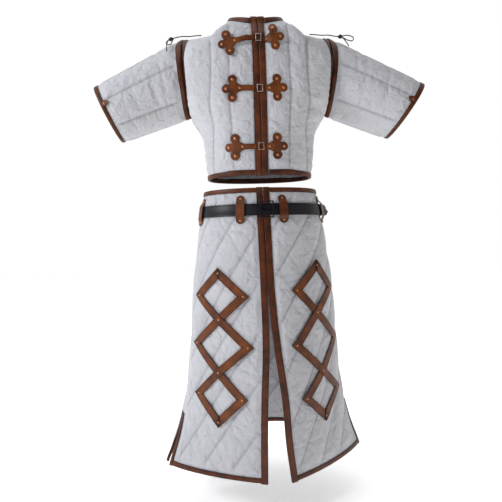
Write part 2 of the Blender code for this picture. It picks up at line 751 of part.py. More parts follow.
@functools.lru_cache(maxsize=None)
def ring_run(z, half):
    """Arc lengths along a quarter ring, with the shares that they belong to."""
    shares = np.linspace(0, 1, 81)
    points = np.array([ring_point(share, z, half) for share in shares])
    run = np.concatenate([[0], np.cumsum(np.linalg.norm(np.diff(points, axis=0), axis=1))])
    return shares, run


def front_opening(z, half, sign):
    """How far the front edge of a panel stands from the centre line; the back has none."""
    if half == "back":
        return 0.0
    return table(SKIRT, "left_opening" if sign > 0 else "right_opening", z)


def slit(z):
    """How far a side edge stands back from the side seam's place."""
    if z > SLIT_TOP_Z:
        return SEAM_HALF_GAP
    return SLIT_START + SLIT_SPREAD * (SLIT_TOP_Z - z) / (SLIT_TOP_Z - SKIRT_HEM_Z)


def skirt_width(z, half, sign):
    """Arc length of half a panel at height z, from its front edge or the centre of the back."""
    return ring_run(z, half)[1][-1] - slit(z) - front_opening(z, half, sign)


def skirt_flat(s, z, half, sign):
    """The inner face of the skirt at arc s, before the ring is turned, on the positive side."""
    shares, run = ring_run(z, half)
    return ring_point(float(np.interp(s + front_opening(z, half, sign), run, shares)), z, half)


def skirt_at(s, z, half, sign, seam=False):
    """Point and outward normal of the skirt's inner face."""
    step = 0.004
    here = skirt_flat(s, z, half, sign)
    along = skirt_flat(s + step, z, half, sign) - skirt_flat(max(s - step, -0.02), z, half, sign)
    high, low = min(z + step, WAIST_Z), max(z - step, SKIRT_HEM_Z)
    up = skirt_flat(s, high, half, sign) - skirt_flat(s, low, half, sign)
    normal = np.cross(along, up) * (-1 if half == "back" else 1)
    if seam:
        normal[1] = 0
    if half == "back" and s == 0:
        normal[0] = 0
    return turned(here, z, sign), turned(unit(normal), z, sign)


def skirt_stops(z, k, half, sign):
    """Arc lengths of the points in lattice row k of half a panel."""
    width = skirt_width(z, half, sign)
    first = FRONT_STRIP if half == "front" else 0.0
    step = DIAMOND_WIDTH / LATTICE_PER_DIAMOND
    shift = (k % 2) * step / 2
    inside = [first + shift + j * step for j in range(1, 40)]
    inside = [s for s in inside if s < width - SLIT_BAND - 0.45 * step]
    start = [0.0, FRONT_STRIP] if half == "front" else [0.0]
    if shift:
        start.append(first + shift)
    return [*start, *inside, width - SLIT_BAND, width]


def skirt_pad(s, k, z, width, half):
    """Height of the padding between the crossed lines of quilting, flat under the bound edges."""
    first = FRONT_STRIP if half == "front" else 0.0
    across = (s - first) / DIAMOND_WIDTH
    rise = k / (2 * LATTICE_PER_DIAMOND)
    crossed = abs(math.sin(math.pi * (across + rise)) * math.sin(math.pi * (across - rise)))
    raised = (crossed / 0.75) ** 0.6 if crossed > 1e-6 else 0.0
    raised *= smooth(k / 1.5) * smooth((SKIRT_ROWS - k) / 1.5) * smooth((width - SLIT_BAND - s) / 0.022)
    if half == "front":
        raised *= smooth((s - first) / 0.02)
    near_belt = smooth((abs(z - BELT_Z) - 0.016) / 0.03)
    return SKIRT_PAD * min(raised, 1.0) * (0.45 + 0.55 * near_belt)


def skirt_grid(half, sign):
    """Rows of half a skirt panel from the hem up: points, normals and padding."""
    low, high = SKIRT_HEM_Z + SKIRT_HEM_BAND, WAIST_Z - WAIST_BAND
    levels = [(0, SKIRT_HEM_Z)]
    levels += [(k, low + (high - low) * k / SKIRT_ROWS) for k in range(SKIRT_ROWS + 1)]
    levels.append((SKIRT_ROWS, WAIST_Z))
    grid = []
    for index, (k, z) in enumerate(levels):
        border = index in (0, len(levels) - 1)
        width = skirt_width(z, half, sign)
        stops = skirt_stops(low if index == 0 else high if border else z, k, half, sign)
        places = stops
        if border:
            kept = 2 if half == "front" else 1
            start = stops[kept - 1]
            scale = (width - SLIT_BAND - start) / (stops[-2] - start)
            moved = (start + (s - start) * scale for s in stops[kept:-2])
            stops = [*stops[:kept], *moved, width - SLIT_BAND, width]
        row = []
        for place, s in zip(places, stops):
            at_side = s == stops[-1]
            point, normal = skirt_at(s, z, half, sign, at_side and z > SLIT_TOP_Z)
            pad = 0.0 if border or at_side else skirt_pad(s, k, z, width, half)
            row.append((place, point, normal, pad))
        grid.append((z, row))
    return grid


def skirt_rows(grid, half, sign):
    outer, inner = [], []
    last = len(grid) - 1
    for r, (z, row) in enumerate(grid):
        outer_row = [(s * sign, p + n * (CLOTH_EDGE + pad)) for s, p, n, pad in row]
        fine = r in (0, 1, last - 1, last)
        ends = {0, 1, 2, len(row) - 2, len(row) - 1} if half == "front" else {0, len(row) - 2, len(row) - 1}
        inner_row = [(s * sign, p) for k, (s, p, _, _) in enumerate(row) if fine or k in ends or k % 3 == 0]
        outer.append((z, outer_row[::sign]))
        if fine or z < SLIT_TOP_Z + 0.03 or r % 3 == 1:
            inner.append((z, inner_row[::sign]))
    return outer, inner


def skirt_column(grid, k, beyond, rows):
    """Binding stations up a column, a little clear of the cloth between the rows that are left out."""
    line = [station(grid[r][1][k], grid[r][1][beyond], 1, k != 0) for r in rows]
    for at in line:
        at["lift"] = STACK_GAP * 1.5
    return line


def skirt_row(grid, r, beyond, columns):
    line = [station(grid[r][1][k], grid[beyond][1][k], 1, r != 0) for k in columns]
    for at in (line[0], line[-2], line[-1]):
        at["lift"] = CORNER_LIFT
    return line


def build_skirt():
    backs = {}
    hems, waists = [], []
    for side, sign in SIDES:
        front = skirt_grid("front", sign)
        back = skirt_grid("back", sign)
        backs[sign] = back
        last = len(front) - 1
        slit_rows = [r for r, (z, _) in enumerate(front) if z < SLIT_TOP_Z]
        wall(f"skirt_front_{side}", "cloth", *skirt_rows(front, "front", sign))
        binding(f"skirt_strip_{side}", skirt_column(front, 0, 1, [0, *range(1, last, 2), last]),
                -STRIP_OVERHANG, -STRIP_OVERHANG)
        width = len(front[0][1])
        binding(f"skirt_hem_binding_{side}", skirt_row(front, 0, 1, range(1, width - 1)), BAND_GAP, BAND_GAP)
        for label, panel in (("front", front), ("back", back)):
            line = skirt_column(panel, -1, -2, slit_rows)
            binding(f"slit_binding_{label}_{side}", line, -STRIP_OVERHANG, 0.002)
        waists.append(skirt_row(front, last, last - 1, range(1, len(front[last][1]))))
        hems.append(skirt_row(back, 0, 1, range(0, len(back[0][1]) - 1)))
        back_waist = skirt_row(back, last, last - 1, range(0, len(back[last][1])))
        waists[-1] = joined(waists[-1], turned_round(back_waist))
    halves = [skirt_rows(backs[sign], "back", sign) for sign in (-1, 1)]
    whole = [[(v, left[:-1] + right) for (v, left), (_, right) in zip(*pair)] for pair in zip(*halves)]
    wall("skirt_back", "cloth", *whole)
    binding("skirt_hem_binding_back", joined(turned_round(hems[0]), hems[1]), BAND_GAP, BAND_GAP)
    binding("waistband", joined(waists[0], turned_round(waists[1])), BAND_GAP, BAND_GAP)


# The belt, its loops and its buckle follow the waist ring, by arc from the centre front.

WAIST_TOTAL = 2 * (ring_run(BELT_Z, "front")[1][-1] + ring_run(BELT_Z, "back")[1][-1])


def waist_at(arc, z, lift):
    """The point at this arc round the waist, this far out from the cloth's inner face."""
    arc %= WAIST_TOTAL
    side = 1 if arc <= WAIST_TOTAL / 2 else -1
    arc = min(arc, WAIST_TOTAL - arc)
    half = "front" if arc <= ring_run(BELT_Z, "front")[1][-1] else "back"
    shares, lengths = ring_run(BELT_Z, half)
    if half == "back":
        arc = WAIST_TOTAL / 2 - arc
    share = float(np.interp(arc, lengths, shares))
    here = ring_point(share, z, half)
    step = 0.01
    ahead = ring_point(min(share + step, 1), z, half)
    behind = ring_point(max(share - step, 0), z, half)
    normal = np.cross(ahead - behind, (0, 0, 1)) * (-1 if half == "back" else 1)
    if share >= 1 - 1e-9:
        normal = np.array((1.0, 0, 0))
    elif share <= 1e-9:
        normal = np.array((0, 1.0 if half == "back" else -1.0, 0))
    return turned(here, z, side) + turned(unit(normal), z, side) * lift


def build_belt():
    """The belt once round the waist from the buckle, then over itself to a rounded free end."""
    step = WAIST_TOTAL / BELT_STATIONS
    low, high = BELT_Z - BELT_HEIGHT / 2, BELT_Z + BELT_HEIGHT / 2
    sections = []
    for k in range(1, BELT_STATIONS + TONGUE_STATIONS + 1):
        lift = BELT_LIFT + (BELT_THICK + SLIT_CLEAR) * smooth((k - BELT_STATIONS + 3) / 3)
        corners = ((lift, low), (lift, high), (lift + BELT_THICK, high), (lift + BELT_THICK, low))
        sections.append([waist_at(k * step, z, out) for out, z in corners])
    last = [np.array(p) for p in sections[-1]]
    before = [np.array(p) for p in sections[-2]]
    way = unit((last[0] - before[0]) * (1, 1, 0))
    outward = unit((last[2] - last[1]) * (1, 1, 0))
    middle = np.array((0, 0, BELT_Z))
    for ahead, away, share in TONGUE:
        section = []
        for p in last:
            height = (p[2] - BELT_Z) * share
            section.append(p * (1, 1, 0) + way * ahead + outward * away + middle + (0, 0, height))
        sections.append(section)
    sweep("belt", "belt", sections)


def framed_plate(name, kind, columns, rows, holes, place, thick):
    """A flat plate cut by a grid of cells, with the cells in holes left open."""
    bm = bmesh.new()
    made = {}

    def corner(i, j, level):
        if (i, j, level) not in made:
            made[i, j, level] = bm.verts.new(tuple(place(columns[i], rows[j], level * thick)))
        return made[i, j, level]

    cells = {(i, j) for i in range(len(columns) - 1) for j in range(len(rows) - 1)} - set(holes)
    for i, j in sorted(cells):
        around = ((i, j), (i + 1, j), (i + 1, j + 1), (i, j + 1))
        for level in (0, 1):
            bm.faces.new([corner(a, b, level) for a, b in around])
        beside = ((i, j - 1), (i + 1, j), (i, j + 1), (i - 1, j))
        for k, other in enumerate(beside):
            if other not in cells:
                (a, b), (c, d) = around[k], around[(k + 1) % 4]
                bm.faces.new((corner(a, b, 0), corner(c, d, 0), corner(c, d, 1), corner(a, b, 1)))
    return add_mesh(bm, name, kind)


def build_buckle():
    centre = waist_at(BUCKLE_ARC, BELT_Z, 0) * (1, 1, 0) + (0, 0, BELT_Z)
    out = unit((waist_at(BUCKLE_ARC, BELT_Z, 0.01) - waist_at(BUCKLE_ARC, BELT_Z, 0)) * (1, 1, 0))
    across = np.cross((0, 0, 1), -out)
    lift = BELT_LIFT + 2 * BELT_THICK + SLIT_CLEAR + BUCKLE_CLEAR

    def place(a, b, h):
        return centre + across * a + np.array((0, 0, b)) + out * (lift + h)

    wide, high, bar, prong = (BUCKLE[key] for key in ("half_width", "half_height", "bar", "prong"))
    columns = (-wide, -wide + bar, wide - bar, wide)
    rows = (-high, -high + bar, -prong, prong, high - bar, high)
    framed_plate("belt_buckle", "steel", columns, rows, ((1, 1), (1, 3)), place, BUCKLE["thick"])


def build_loops():
    foot = CLOTH_EDGE + SKIRT_PAD + LOOP_FOOT_LIFT
    over = BELT_HEIGHT / 2 + LOOP_OVER
    tongue_end = TONGUE_STATIONS * WAIST_TOTAL / BELT_STATIONS + BUCKLE["half_width"]
    for name, arc, side in LOOPS:
        arc = arc if side == "left" else WAIST_TOTAL - arc
        doubled = side == "left" and arc < tongue_end
        high = BELT_LIFT + (2 if doubled else 1) * (BELT_THICK + SLIT_CLEAR) + LOOP_CLEAR
        outline = [(LOOP_BOTTOM_Z + along, share, foot) for along, share in LOOP_END]
        outline += [(BELT_Z + rise, 1, high) for rise in (-over, 0, over)]
        outline += [(LOOP_TOP_Z - along, share, LOOP_TOP_LIFT) for along, share in LOOP_END[::-1]]
        stops = [(z, -LOOP_WIDTH / 2 * share, LOOP_WIDTH / 2 * share, lift) for z, share, lift in outline]

        def place(z, across, lift):
            return waist_at(arc + across, z, lift)

        strap(f"belt_loop_{name}", "strap", stops, place, LOOP_THICK)


# The leather figures on the skirt and the clasps on the jacket.

def build_lozenges(side, sign):
    """Three lozenges joined end to end: four straps each, with a shared crossing between them."""
    lift = CLOTH_EDGE + SKIRT_PAD + LOZENGE_LIFT
    joints, centres = LOZENGES[side]["joints"], LOZENGES[side]["centres"]

    def place(s, z, level):
        point, normal = skirt_at(s, z, "front", sign)
        return point + normal * (lift + level * LOZENGE_THICK)

    inner, outer = [], []
    for i, half in enumerate(LOZENGES[side]["half_widths"]):
        top, bottom = joints[i], joints[i + 1]
        middle = (top + bottom) / 2
        centre_top, centre_bottom = centres[i], centres[i + 1]
        centre = (centre_top + centre_bottom) / 2
        slope = math.hypot(half, (top - bottom) / 2)
        down = LOZENGE_STRAP / 2 * slope / half
        aside = LOZENGE_STRAP / 2 * slope / ((top - bottom) / 2)
        inner.append({"top": (centre_top, top - down), "low": (centre_bottom, bottom + down),
                      "in": (centre - half + aside, middle), "out": (centre + half - aside, middle)})
        outer.append({"top": (centre_top, top + down), "low": (centre_bottom, bottom - down),
                      "in": (centre - half - aside, middle), "out": (centre + half + aside, middle)})
    for i in (0, 1):
        for key, way in (("in", -1), ("out", 1)):
            gap = LOZENGE_STRAP * LOZENGE_NOTCH
            outer[i][f"notch_{key}"] = (centres[i + 1] + way * gap, joints[i + 1])
    bm = bmesh.new()
    made = {}

    def vertex(at, level):
        key = (round(at[0], 6), round(at[1], 6), level)
        if key not in made:
            made[key] = bm.verts.new(tuple(place(at[0], at[1], level)))
        return made[key]

    def face(corners):
        for level in (0, 1):
            bm.faces.new([vertex(at, level) for at in corners])

    def edge(a, b):
        bm.faces.new((vertex(a, 0), vertex(b, 0), vertex(b, 1), vertex(a, 1)))

    def run(a, b, share):
        return (a[0] + (b[0] - a[0]) * share, a[1] + (b[1] - a[1]) * share)

    def bar(outer_a, inner_a, outer_b, inner_b):
        cuts = [k / LOZENGE_CUTS for k in range(LOZENGE_CUTS + 1)]
        for low, high in zip(cuts, cuts[1:]):
            o1, o2 = run(outer_a, outer_b, low), run(outer_a, outer_b, high)
            i1, i2 = run(inner_a, inner_b, low), run(inner_a, inner_b, high)
            face((o1, o2, i2, i1))
            edge(o1, o2)
            edge(i1, i2)

    for i in range(3):
        for key in ("in", "out"):
            start = outer[i]["top"] if i == 0 else outer[i - 1][f"notch_{key}"]
            end = outer[i]["low"] if i == 2 else outer[i][f"notch_{key}"]
            bar(start, inner[i]["top"], outer[i][key], inner[i][key])
            bar(outer[i][key], inner[i][key], end, inner[i]["low"])
    for i in (0, 1):
        face((inner[i]["low"], outer[i]["notch_out"], inner[i + 1]["top"], outer[i]["notch_in"]))
    add_mesh(bm, f"lozenge_chain_{side}", "strap")


def jacket_front_at(s, z):
    """Point and normal of the jacket front's inner face at arc s and height z, on the wearer's left."""
    half = HALVES["front"]
    v = 0.5
    # the rows are about 0.6 m apart from hem to neck, so each try closes most of what is left
    for _ in range(12):
        us, _total = row_shares(v, half, lambda t: np.array((s,)))
        u = float(us[0])
        v = min(max(v + (z - torso_point(u, v, half)[2]) * 1.6, 0), 1)
    point = torso_point(u, v, half)
    point[0] += FRONT_EDGE * (1 - smooth(u / 0.6))
    return point, torso_normal(u, v, half)


def build_clasp(index, clasp):
    """Two trefoils, one with a long strap, joined over the opening by a steel ring."""
    high = CLOTH_EDGE + JACKET_PAD + CLASP_PAD_LIFT[index - 1]
    low = CLOTH_EDGE + SLIT_CLEAR + LEATHER + 1.5 * STACK_GAP
    for side, sign in SIDES:
        centre, rise, tilt = clasp[side]
        tilt = math.radians(tilt)

        def place(along, across, lift):
            s = centre - along * math.cos(tilt) + across * math.sin(tilt)
            z = clasp["z"] + rise + along * math.sin(tilt) + across * math.cos(tilt)
            near = smooth((s - FRONT_STRIP) / 0.022)
            point, normal = jacket_front_at(s, z)
            return mirrored(point + normal * (lift + low + (high - low) * near), sign)

        reach = (centre - CLASP_END) / math.cos(tilt)
        stops = [(a, -half, half, 0) for a, half in zip(TREFOIL["along"], TREFOIL["half"])]
        tail = TREFOIL["along"][-1]
        half, steps = CLASP_STRAP_HALF, max(2, round((reach - tail) / CLASP_STRAP_STEP))
        stops += [(tail + (reach - tail) * k / steps, -half, half, 0) for k in range(1, steps + 1)]
        strap(f"clasp_{index}_{side}", "strap", stops, place, CLASP_THICK, 2 if index == 1 else 1)
    ring = CLASP_RING
    here = jacket_front_at(0, clasp["z"])[0] * np.array((0, 1, 1))
    front = np.array((0.0, -1.0, 0.0))

    def ring_place(a, b, h):
        return here + np.array((a, 0, b)) + front * (low + CLASP_RING_LIFT[index - 1] + h)

    wide, tall, bar = ring["across"] / 2, ring["high"] / 2, ring["bar"]
    columns = (-wide, -wide + bar, wide - bar, wide)
    rows = (-tall, -tall + bar, tall - bar, tall)
    framed_plate(f"clasp_{index}_ring", "steel", columns, rows, ((1, 1),), ring_place, ring["thick"])


# The laces that hold each sleeve to the shoulder.

def smooth_path(points, spacing):
    """Points at even spacing along a smooth curve through the given ones."""
    points = [np.array(p) for p in points]
    ends = [2 * points[0] - points[1], *points, 2 * points[-1] - points[-2]]
    dense = []
    for a, b, c, d in zip(ends, ends[1:], ends[2:], ends[3:]):
        for t in np.linspace(0, 1, 24, endpoint=False):
            dense.append(0.5 * (2 * b + (c - a) * t + (2 * a - 5 * b + 4 * c - d) * t * t
                                + (3 * b - a - 3 * c + d) * t ** 3))
    dense.append(points[-1])
    dense = np.array(dense)
    run = np.concatenate([[0], np.cumsum(np.linalg.norm(np.diff(dense, axis=0), axis=1))])
    at = np.linspace(0, run[-1], max(2, round(run[-1] / spacing) + 1))
    return np.stack([np.interp(at, run, dense[:, k]) for k in range(3)], axis=1)


def build_lace(side, sign):
    curve = bpy.data.curves.new(f"shoulder_lace_{side}", "CURVE")
    curve.dimensions = "3D"
    curve.bevel_depth = LACE_DIAMETER / 2
    curve.bevel_resolution = 1
    curve.use_fill_caps = True
    points = smooth_path([mirrored(p, sign) for p in LACE_ROUTES[side]], LACE_DIAMETER * 3.0)
    spline = curve.splines.new("POLY")
    spline.points.add(len(points) - 1)
    for at, p in zip(spline.points, points):
        at.co = (*p, 1)
    obj = bpy.data.objects.new(f"shoulder_lace_{side}", curve)
    obj.data.materials.append(material("lace", obj.name))
    bpy.context.collection.objects.link(obj)


def main():
    clear_scene()
    build_torso()
    for cuff in CUFFS:
        build_sleeve(cuff)
    build_skirt()
    build_belt()
    build_buckle()
    build_loops()
    for index, clasp in enumerate(CLASPS, 1):
        build_clasp(index, clasp)
    for side, sign in SIDES:
        build_lozenges(side, sign)
        build_lace(side, sign)


main()
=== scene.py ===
import math

import bmesh
import bpy
import numpy as np
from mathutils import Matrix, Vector


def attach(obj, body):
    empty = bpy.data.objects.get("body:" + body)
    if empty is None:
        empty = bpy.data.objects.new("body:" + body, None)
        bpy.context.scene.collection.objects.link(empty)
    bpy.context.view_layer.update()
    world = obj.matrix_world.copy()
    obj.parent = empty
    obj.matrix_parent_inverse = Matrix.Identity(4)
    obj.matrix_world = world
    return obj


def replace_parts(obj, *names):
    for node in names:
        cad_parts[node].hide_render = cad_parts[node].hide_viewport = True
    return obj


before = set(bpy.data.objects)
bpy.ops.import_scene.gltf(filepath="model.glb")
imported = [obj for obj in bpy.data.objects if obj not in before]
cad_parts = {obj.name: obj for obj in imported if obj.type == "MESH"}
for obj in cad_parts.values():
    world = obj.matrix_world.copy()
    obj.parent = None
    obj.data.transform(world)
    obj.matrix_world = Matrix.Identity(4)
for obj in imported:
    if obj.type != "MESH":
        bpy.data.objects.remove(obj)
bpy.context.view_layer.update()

sides = (("right", -1), ("left", 1))

# the camera stands where the photograph was taken from, in metres from the object's axis
camera = {"turn": 2.5, "distance": 1.66, "aside": 0.035, "height": -0.754, "lens": 34.42, "roll": 1.6,
          "horizonShift": -0.0259}


def placeCamera():
    turn = math.radians(camera["turn"])
    ahead = Vector((math.sin(turn), math.cos(turn), 0))
    right = Vector((math.cos(turn), -math.sin(turn), 0))
    eye = -ahead * camera["distance"] - right * camera["aside"] + Vector((0, 0, camera["height"]))
    data = bpy.data.cameras.new("photographView")
    data.lens = camera["lens"]
    data.sensor_width = 36
    data.shift_y = camera["horizonShift"]
    data.clip_start = 0.05
    data.clip_end = 60
    obj = bpy.data.objects.new("photographView", data)
    bpy.context.collection.objects.link(obj)
    obj.rotation_euler = ahead.to_track_quat("-Z", "Y").to_euler()
    obj.rotation_euler.rotate_axis("Z", -math.radians(camera["roll"]))
    obj.location = eye
    bpy.context.scene.camera = obj


placeCamera()
print("camera placed")

# sizes that the solids were made from, in metres
cloth = {"edge": 0.0045, "jacketPad": 0.0058, "sleevePad": 0.0053, "skirtPad": 0.0063, "thick": 0.0042}
leatherTrim = {"thick": 0.0018, "clear": 0.0005, "frontStrip": 0.018}
jacket = {"hemZ": -0.552, "armpitZ": -0.335, "tip": (0.246, -0.073),
          "bandRows": (0.027, 0.96), "neckRow": 0.935,
          "shoulderRound": 0.110, "neckRound": 0.070,
          "neckHalf": 0.086, "neckShare": 0.36, "turnV": 0.80, "armholeHalf": 0.078, "frontEdge": 0.0026,
          "band": 0.014, "across": 13, "along": 110, "ripple": 0.0019, "ease": 0.004, "fallAway": 0.45,
          "firstLine": (0.060, 0.115), "secondLine": (0.100, 0.270)}
torsoRows = {
    "z": (-0.552, -0.480, -0.400, -0.335, -0.260, -0.180, -0.100, -0.040),
    "half": (0.171, 0.177, 0.188, 0.224, 0.233, 0.240, 0.244, 0.244),
    "front": (0.127, 0.131, 0.138, 0.142, 0.143, 0.138, 0.126, 0.108),
    "back": (0.112, 0.116, 0.126, 0.134, 0.138, 0.134, 0.122, 0.105),
}
shoulderLine = {"x": (0.086, 0.097, 0.115, 0.140, 0.172, 0.210, 0.246),
                "z": (-0.004, -0.033, -0.048, -0.057, -0.063, -0.068, -0.073)}
halves = {"front": {"way": -1, "neckDeep": 0.094, "neckDrop": 0.036},
          "back": {"way": 1, "neckDeep": 0.072, "neckDrop": -0.002}}
sleeve = {"length": 0.280, "fullness": 0.006, "gapOnTop": 0.0072, "channels": 7, "headBand": 0.014,
          "cuffBand": 0.0125, "around": 168, "along": 70, "round": 0.545, "tabT": 0.27,
          "headOver": 0.0030}
cuffs = (
    {"side": "right", "sign": -1, "gap": 0.0129, "x": 0.508, "y": 0.000, "z": -0.322, "lean": 25,
     "high": 0.192, "deep": 0.150},
    {"side": "left", "sign": 1, "gap": 0.0138, "x": 0.500, "y": -0.045, "z": -0.338, "lean": 35,
     "high": 0.205, "deep": 0.156},
)
skirt = {"waistZ": -0.597, "hemZ": -1.490, "band": 0.014, "slitBand": 0.013, "slitTop": -1.330, "turn": 9.0,
         "diamond": 0.100, "perDiamond": 3, "rows": 35, "slitStart": 0.0034, "slitSpread": 0.012,
         "seamGap": 0.00015, "across": 74, "along": 190, "secondFamily": 0.22}
skirtRows = {
    "z": (-0.597, -0.760, -0.920, -1.090, -1.250, -1.380, -1.490),
    "half": (0.186, 0.211, 0.232, 0.245, 0.262, 0.292, 0.336),
    "front": (0.132, 0.158, 0.180, 0.200, 0.215, 0.224, 0.230),
    "back": (0.124, 0.168, 0.194, 0.212, 0.232, 0.250, 0.268),
    "frontPower": (2.10, 2.00, 1.85, 1.65, 1.50, 1.36, 1.26),
    "backPower": (2.10, 2.10, 2.10, 2.05, 2.00, 1.95, 1.90),
    "turn": (0.0, 0.05, 0.15, 0.35, 0.60, 0.82, 1.0),
    "rightOpening": (0.0027, 0.0027, 0.0034, 0.0100, 0.0280, 0.0420, 0.0520),
    "leftOpening": (0.0027, 0.0027, 0.0032, 0.0090, 0.0190, 0.0190, 0.0260),
}
belt = {"z": -0.665, "high": 0.038, "thick": 0.0030, "lift": 0.0088, "stations": 48, "tongueStations": 10,
        "buckleArc": 0.009, "gap": 0.0005, "tip": 0.0525, "tipAway": 0.0078,
        "tipShape": ((0, 1), (0.032, 1), (0.038, 0.93), (0.044, 0.76), (0.049, 0.50), (0.0525, 0.16))}


# curves and surfaces

def smooth(t):
    t = np.clip(t, 0.0, 1.0)
    return t * t * (3 - 2 * t)


def readTable(rows, key, z):
    # a value at height z, on a smooth curve through the table's rows
    heights, values = np.array(rows["z"]), np.array(rows[key])
    if heights[0] > heights[-1]:
        heights, values = heights[::-1], values[::-1]
    slopes = np.empty(len(values))
    slopes[1:-1] = (values[2:] - values[:-2]) / (heights[2:] - heights[:-2])
    slopes[0] = (values[1] - values[0]) / (heights[1] - heights[0])
    slopes[-1] = (values[-1] - values[-2]) / (heights[-1] - heights[-2])
    z = np.clip(z, heights[0], heights[-1])
    i = np.clip(np.searchsorted(heights, z) - 1, 0, len(heights) - 2)
    span = heights[i + 1] - heights[i]
    t = (z - heights[i]) / span
    rise = values[i + 1] - values[i]
    return (values[i] + rise * t * t * (3 - 2 * t)
            + span * (slopes[i] * t * (1 - t) ** 2 - slopes[i + 1] * t * t * (1 - t)))


def units(vectors):
    return vectors / np.maximum(np.linalg.norm(vectors, axis=-1, keepdims=True), 1e-12)


def torsoSkin(u, v, half):
    # the inner face of a torso half on the wearer's left, for arrays of u and v
    u, v = np.broadcast_arrays(np.asarray(u, float), np.asarray(v, float))
    way, facts = halves[half]["way"], halves[half]
    bend = np.clip(u / jacket["neckShare"], 0, 1) * math.pi / 2
    onNeck = u <= jacket["neckShare"]
    pastNeck = (u - jacket["neckShare"]) / (1 - jacket["neckShare"])
    outX = jacket["neckHalf"] + (jacket["tip"][0] - jacket["neckHalf"]) * pastNeck
    topX = np.where(onNeck, jacket["neckHalf"] * np.sin(bend), outX)
    topY = np.where(onNeck, way * facts["neckDeep"] * np.cos(bend), 0.0)
    topZ = np.where(onNeck, shoulderLine["z"][0] - facts["neckDrop"] * np.cos(bend) ** 2,
                    np.interp(outX, shoulderLine["x"], shoulderLine["z"]))
    shoulder = smooth((u - jacket["neckShare"] + 0.04) / 0.16)
    reach = jacket["neckRound"] + (jacket["shoulderRound"] - jacket["neckRound"]) * shoulder
    turn = np.clip((v - jacket["turnV"]) / (1 - jacket["turnV"]), 0, 1)
    rise = shoulder * np.sin(turn * math.pi / 2) + (1 - shoulder) * turn
    z = np.where(v <= jacket["turnV"], jacket["hemZ"] + (topZ - reach - jacket["hemZ"]) * v / jacket["turnV"],
                 topZ - reach + reach * rise)
    kept = shoulder * np.cos(turn * math.pi / 2) + (1 - shoulder) * (1 - smooth(turn))
    sideX = readTable(torsoRows, "half", z)
    share = np.clip((z - jacket["armpitZ"]) / (jacket["tip"][1] - jacket["armpitZ"]), 0, 1)
    sideY = np.where(z <= jacket["armpitZ"], 0.0,
                     way * jacket["armholeHalf"] * (1 - np.abs(2 * share - 1) ** 2.2))
    power = 2 / 2.25
    across = np.sin(u * math.pi / 2) ** power
    away = np.where(u < 1, 1 - np.maximum(np.cos(u * math.pi / 2), 0) ** power, 1.0)
    depth = way * readTable(torsoRows, half, z)
    mixed = smooth(turn)
    x = sideX * across * (1 - mixed) + topX * mixed
    y = (depth * kept + topY * (1 - kept)) * (1 - away) + sideY * away
    # the cloth in front of the shoulder slopes away from its line, so that the line is the outline
    crown = np.interp(x, shoulderLine["x"], shoulderLine["z"])
    crown = np.where(onNeck, np.minimum(crown, topZ), crown)
    line = crown + 0.002 - jacket["fallAway"] * np.maximum(np.abs(y) - np.abs(topY), 0)
    over = np.clip((z - line) / jacket["ease"], -40, 40)
    z = z - jacket["ease"] * np.log1p(np.exp(over)) * smooth((u - 0.10) / 0.14)
    return np.stack([x, y, z], axis=-1)


def torsoRuns(half):
    # arc lengths across the torso half, for rows of v and columns of u
    us, vs = np.linspace(0, 1, 61), np.linspace(0, 1, 81)
    points = torsoSkin(us[None, :], vs[:, None], half)
    steps = np.linalg.norm(np.diff(points, axis=1), axis=2)
    return us, vs, np.concatenate([np.zeros((81, 1)), np.cumsum(steps, axis=1)], axis=1)


runs = {half: torsoRuns(half) for half in halves}


def torsoLines(v, half):
    # the u of every sewn line at this v: centre or strip, the quilting lines, the bound side
    us, vs, table = runs[half]
    run = np.array([np.interp(v, vs, table[:, k]) for k in range(len(us))])
    total = run[-1]
    first = leatherTrim["frontStrip"] if half == "front" else 0.0
    inner, outer = (base + share * total for base, share in (jacket["firstLine"], jacket["secondLine"]))
    lengths = [first, inner, outer, total - jacket["band"], total]
    lines = np.interp(lengths, run, us)
    if v >= jacket["turnV"]:
        shift = smooth((v - jacket["turnV"]) / (1 - jacket["turnV"]))
        lines[1] *= 1 + (jacket["neckShare"] / lines[1] - 1) * shift
        lines[2] = max(lines[2], lines[1] + 0.08)
    if half == "front":
        lines = np.concatenate([[0.0], lines])
    return lines, total


def jacketAt(s, z):
    # point and normal on the inner face of the front, at arc s from its edge and height z
    us, vs, table = runs["front"]
    s, z = np.asarray(s, float), np.asarray(z, float)
    v = np.full(s.shape, 0.5)
    for _ in range(14):
        place = np.clip(v * 80, 0, 79.999)
        j = place.astype(int)
        run = table[j] + (table[j + 1] - table[j]) * (place - j)[..., None]
        k = np.clip((run < s[..., None]).sum(axis=-1) - 1, 0, len(us) - 2)
        low = np.take_along_axis(run, k[..., None], -1)[..., 0]
        high = np.take_along_axis(run, k[..., None] + 1, -1)[..., 0]
        u = us[k] + (us[1] - us[0]) * (s - low) / np.maximum(high - low, 1e-9)
        v = np.clip(v + (z - torsoSkin(u, v, "front")[..., 2]) * 1.6, 0, 1)
    step = 0.004
    u = np.clip(u, 0, 1)
    along = torsoSkin(np.minimum(u + step, 1), v, "front") - torsoSkin(np.maximum(u - step, 0), v, "front")
    up = torsoSkin(u, np.minimum(v + step, 1), "front") - torsoSkin(u, np.maximum(v - step, 0), "front")
    point = torsoSkin(u, v, "front")
    point[..., 0] += jacket["frontEdge"] * (1 - smooth(u / 0.6))
    return point, units(np.cross(along, up))


def mirrored(points, sign):
    return points * np.array((sign, 1, 1))


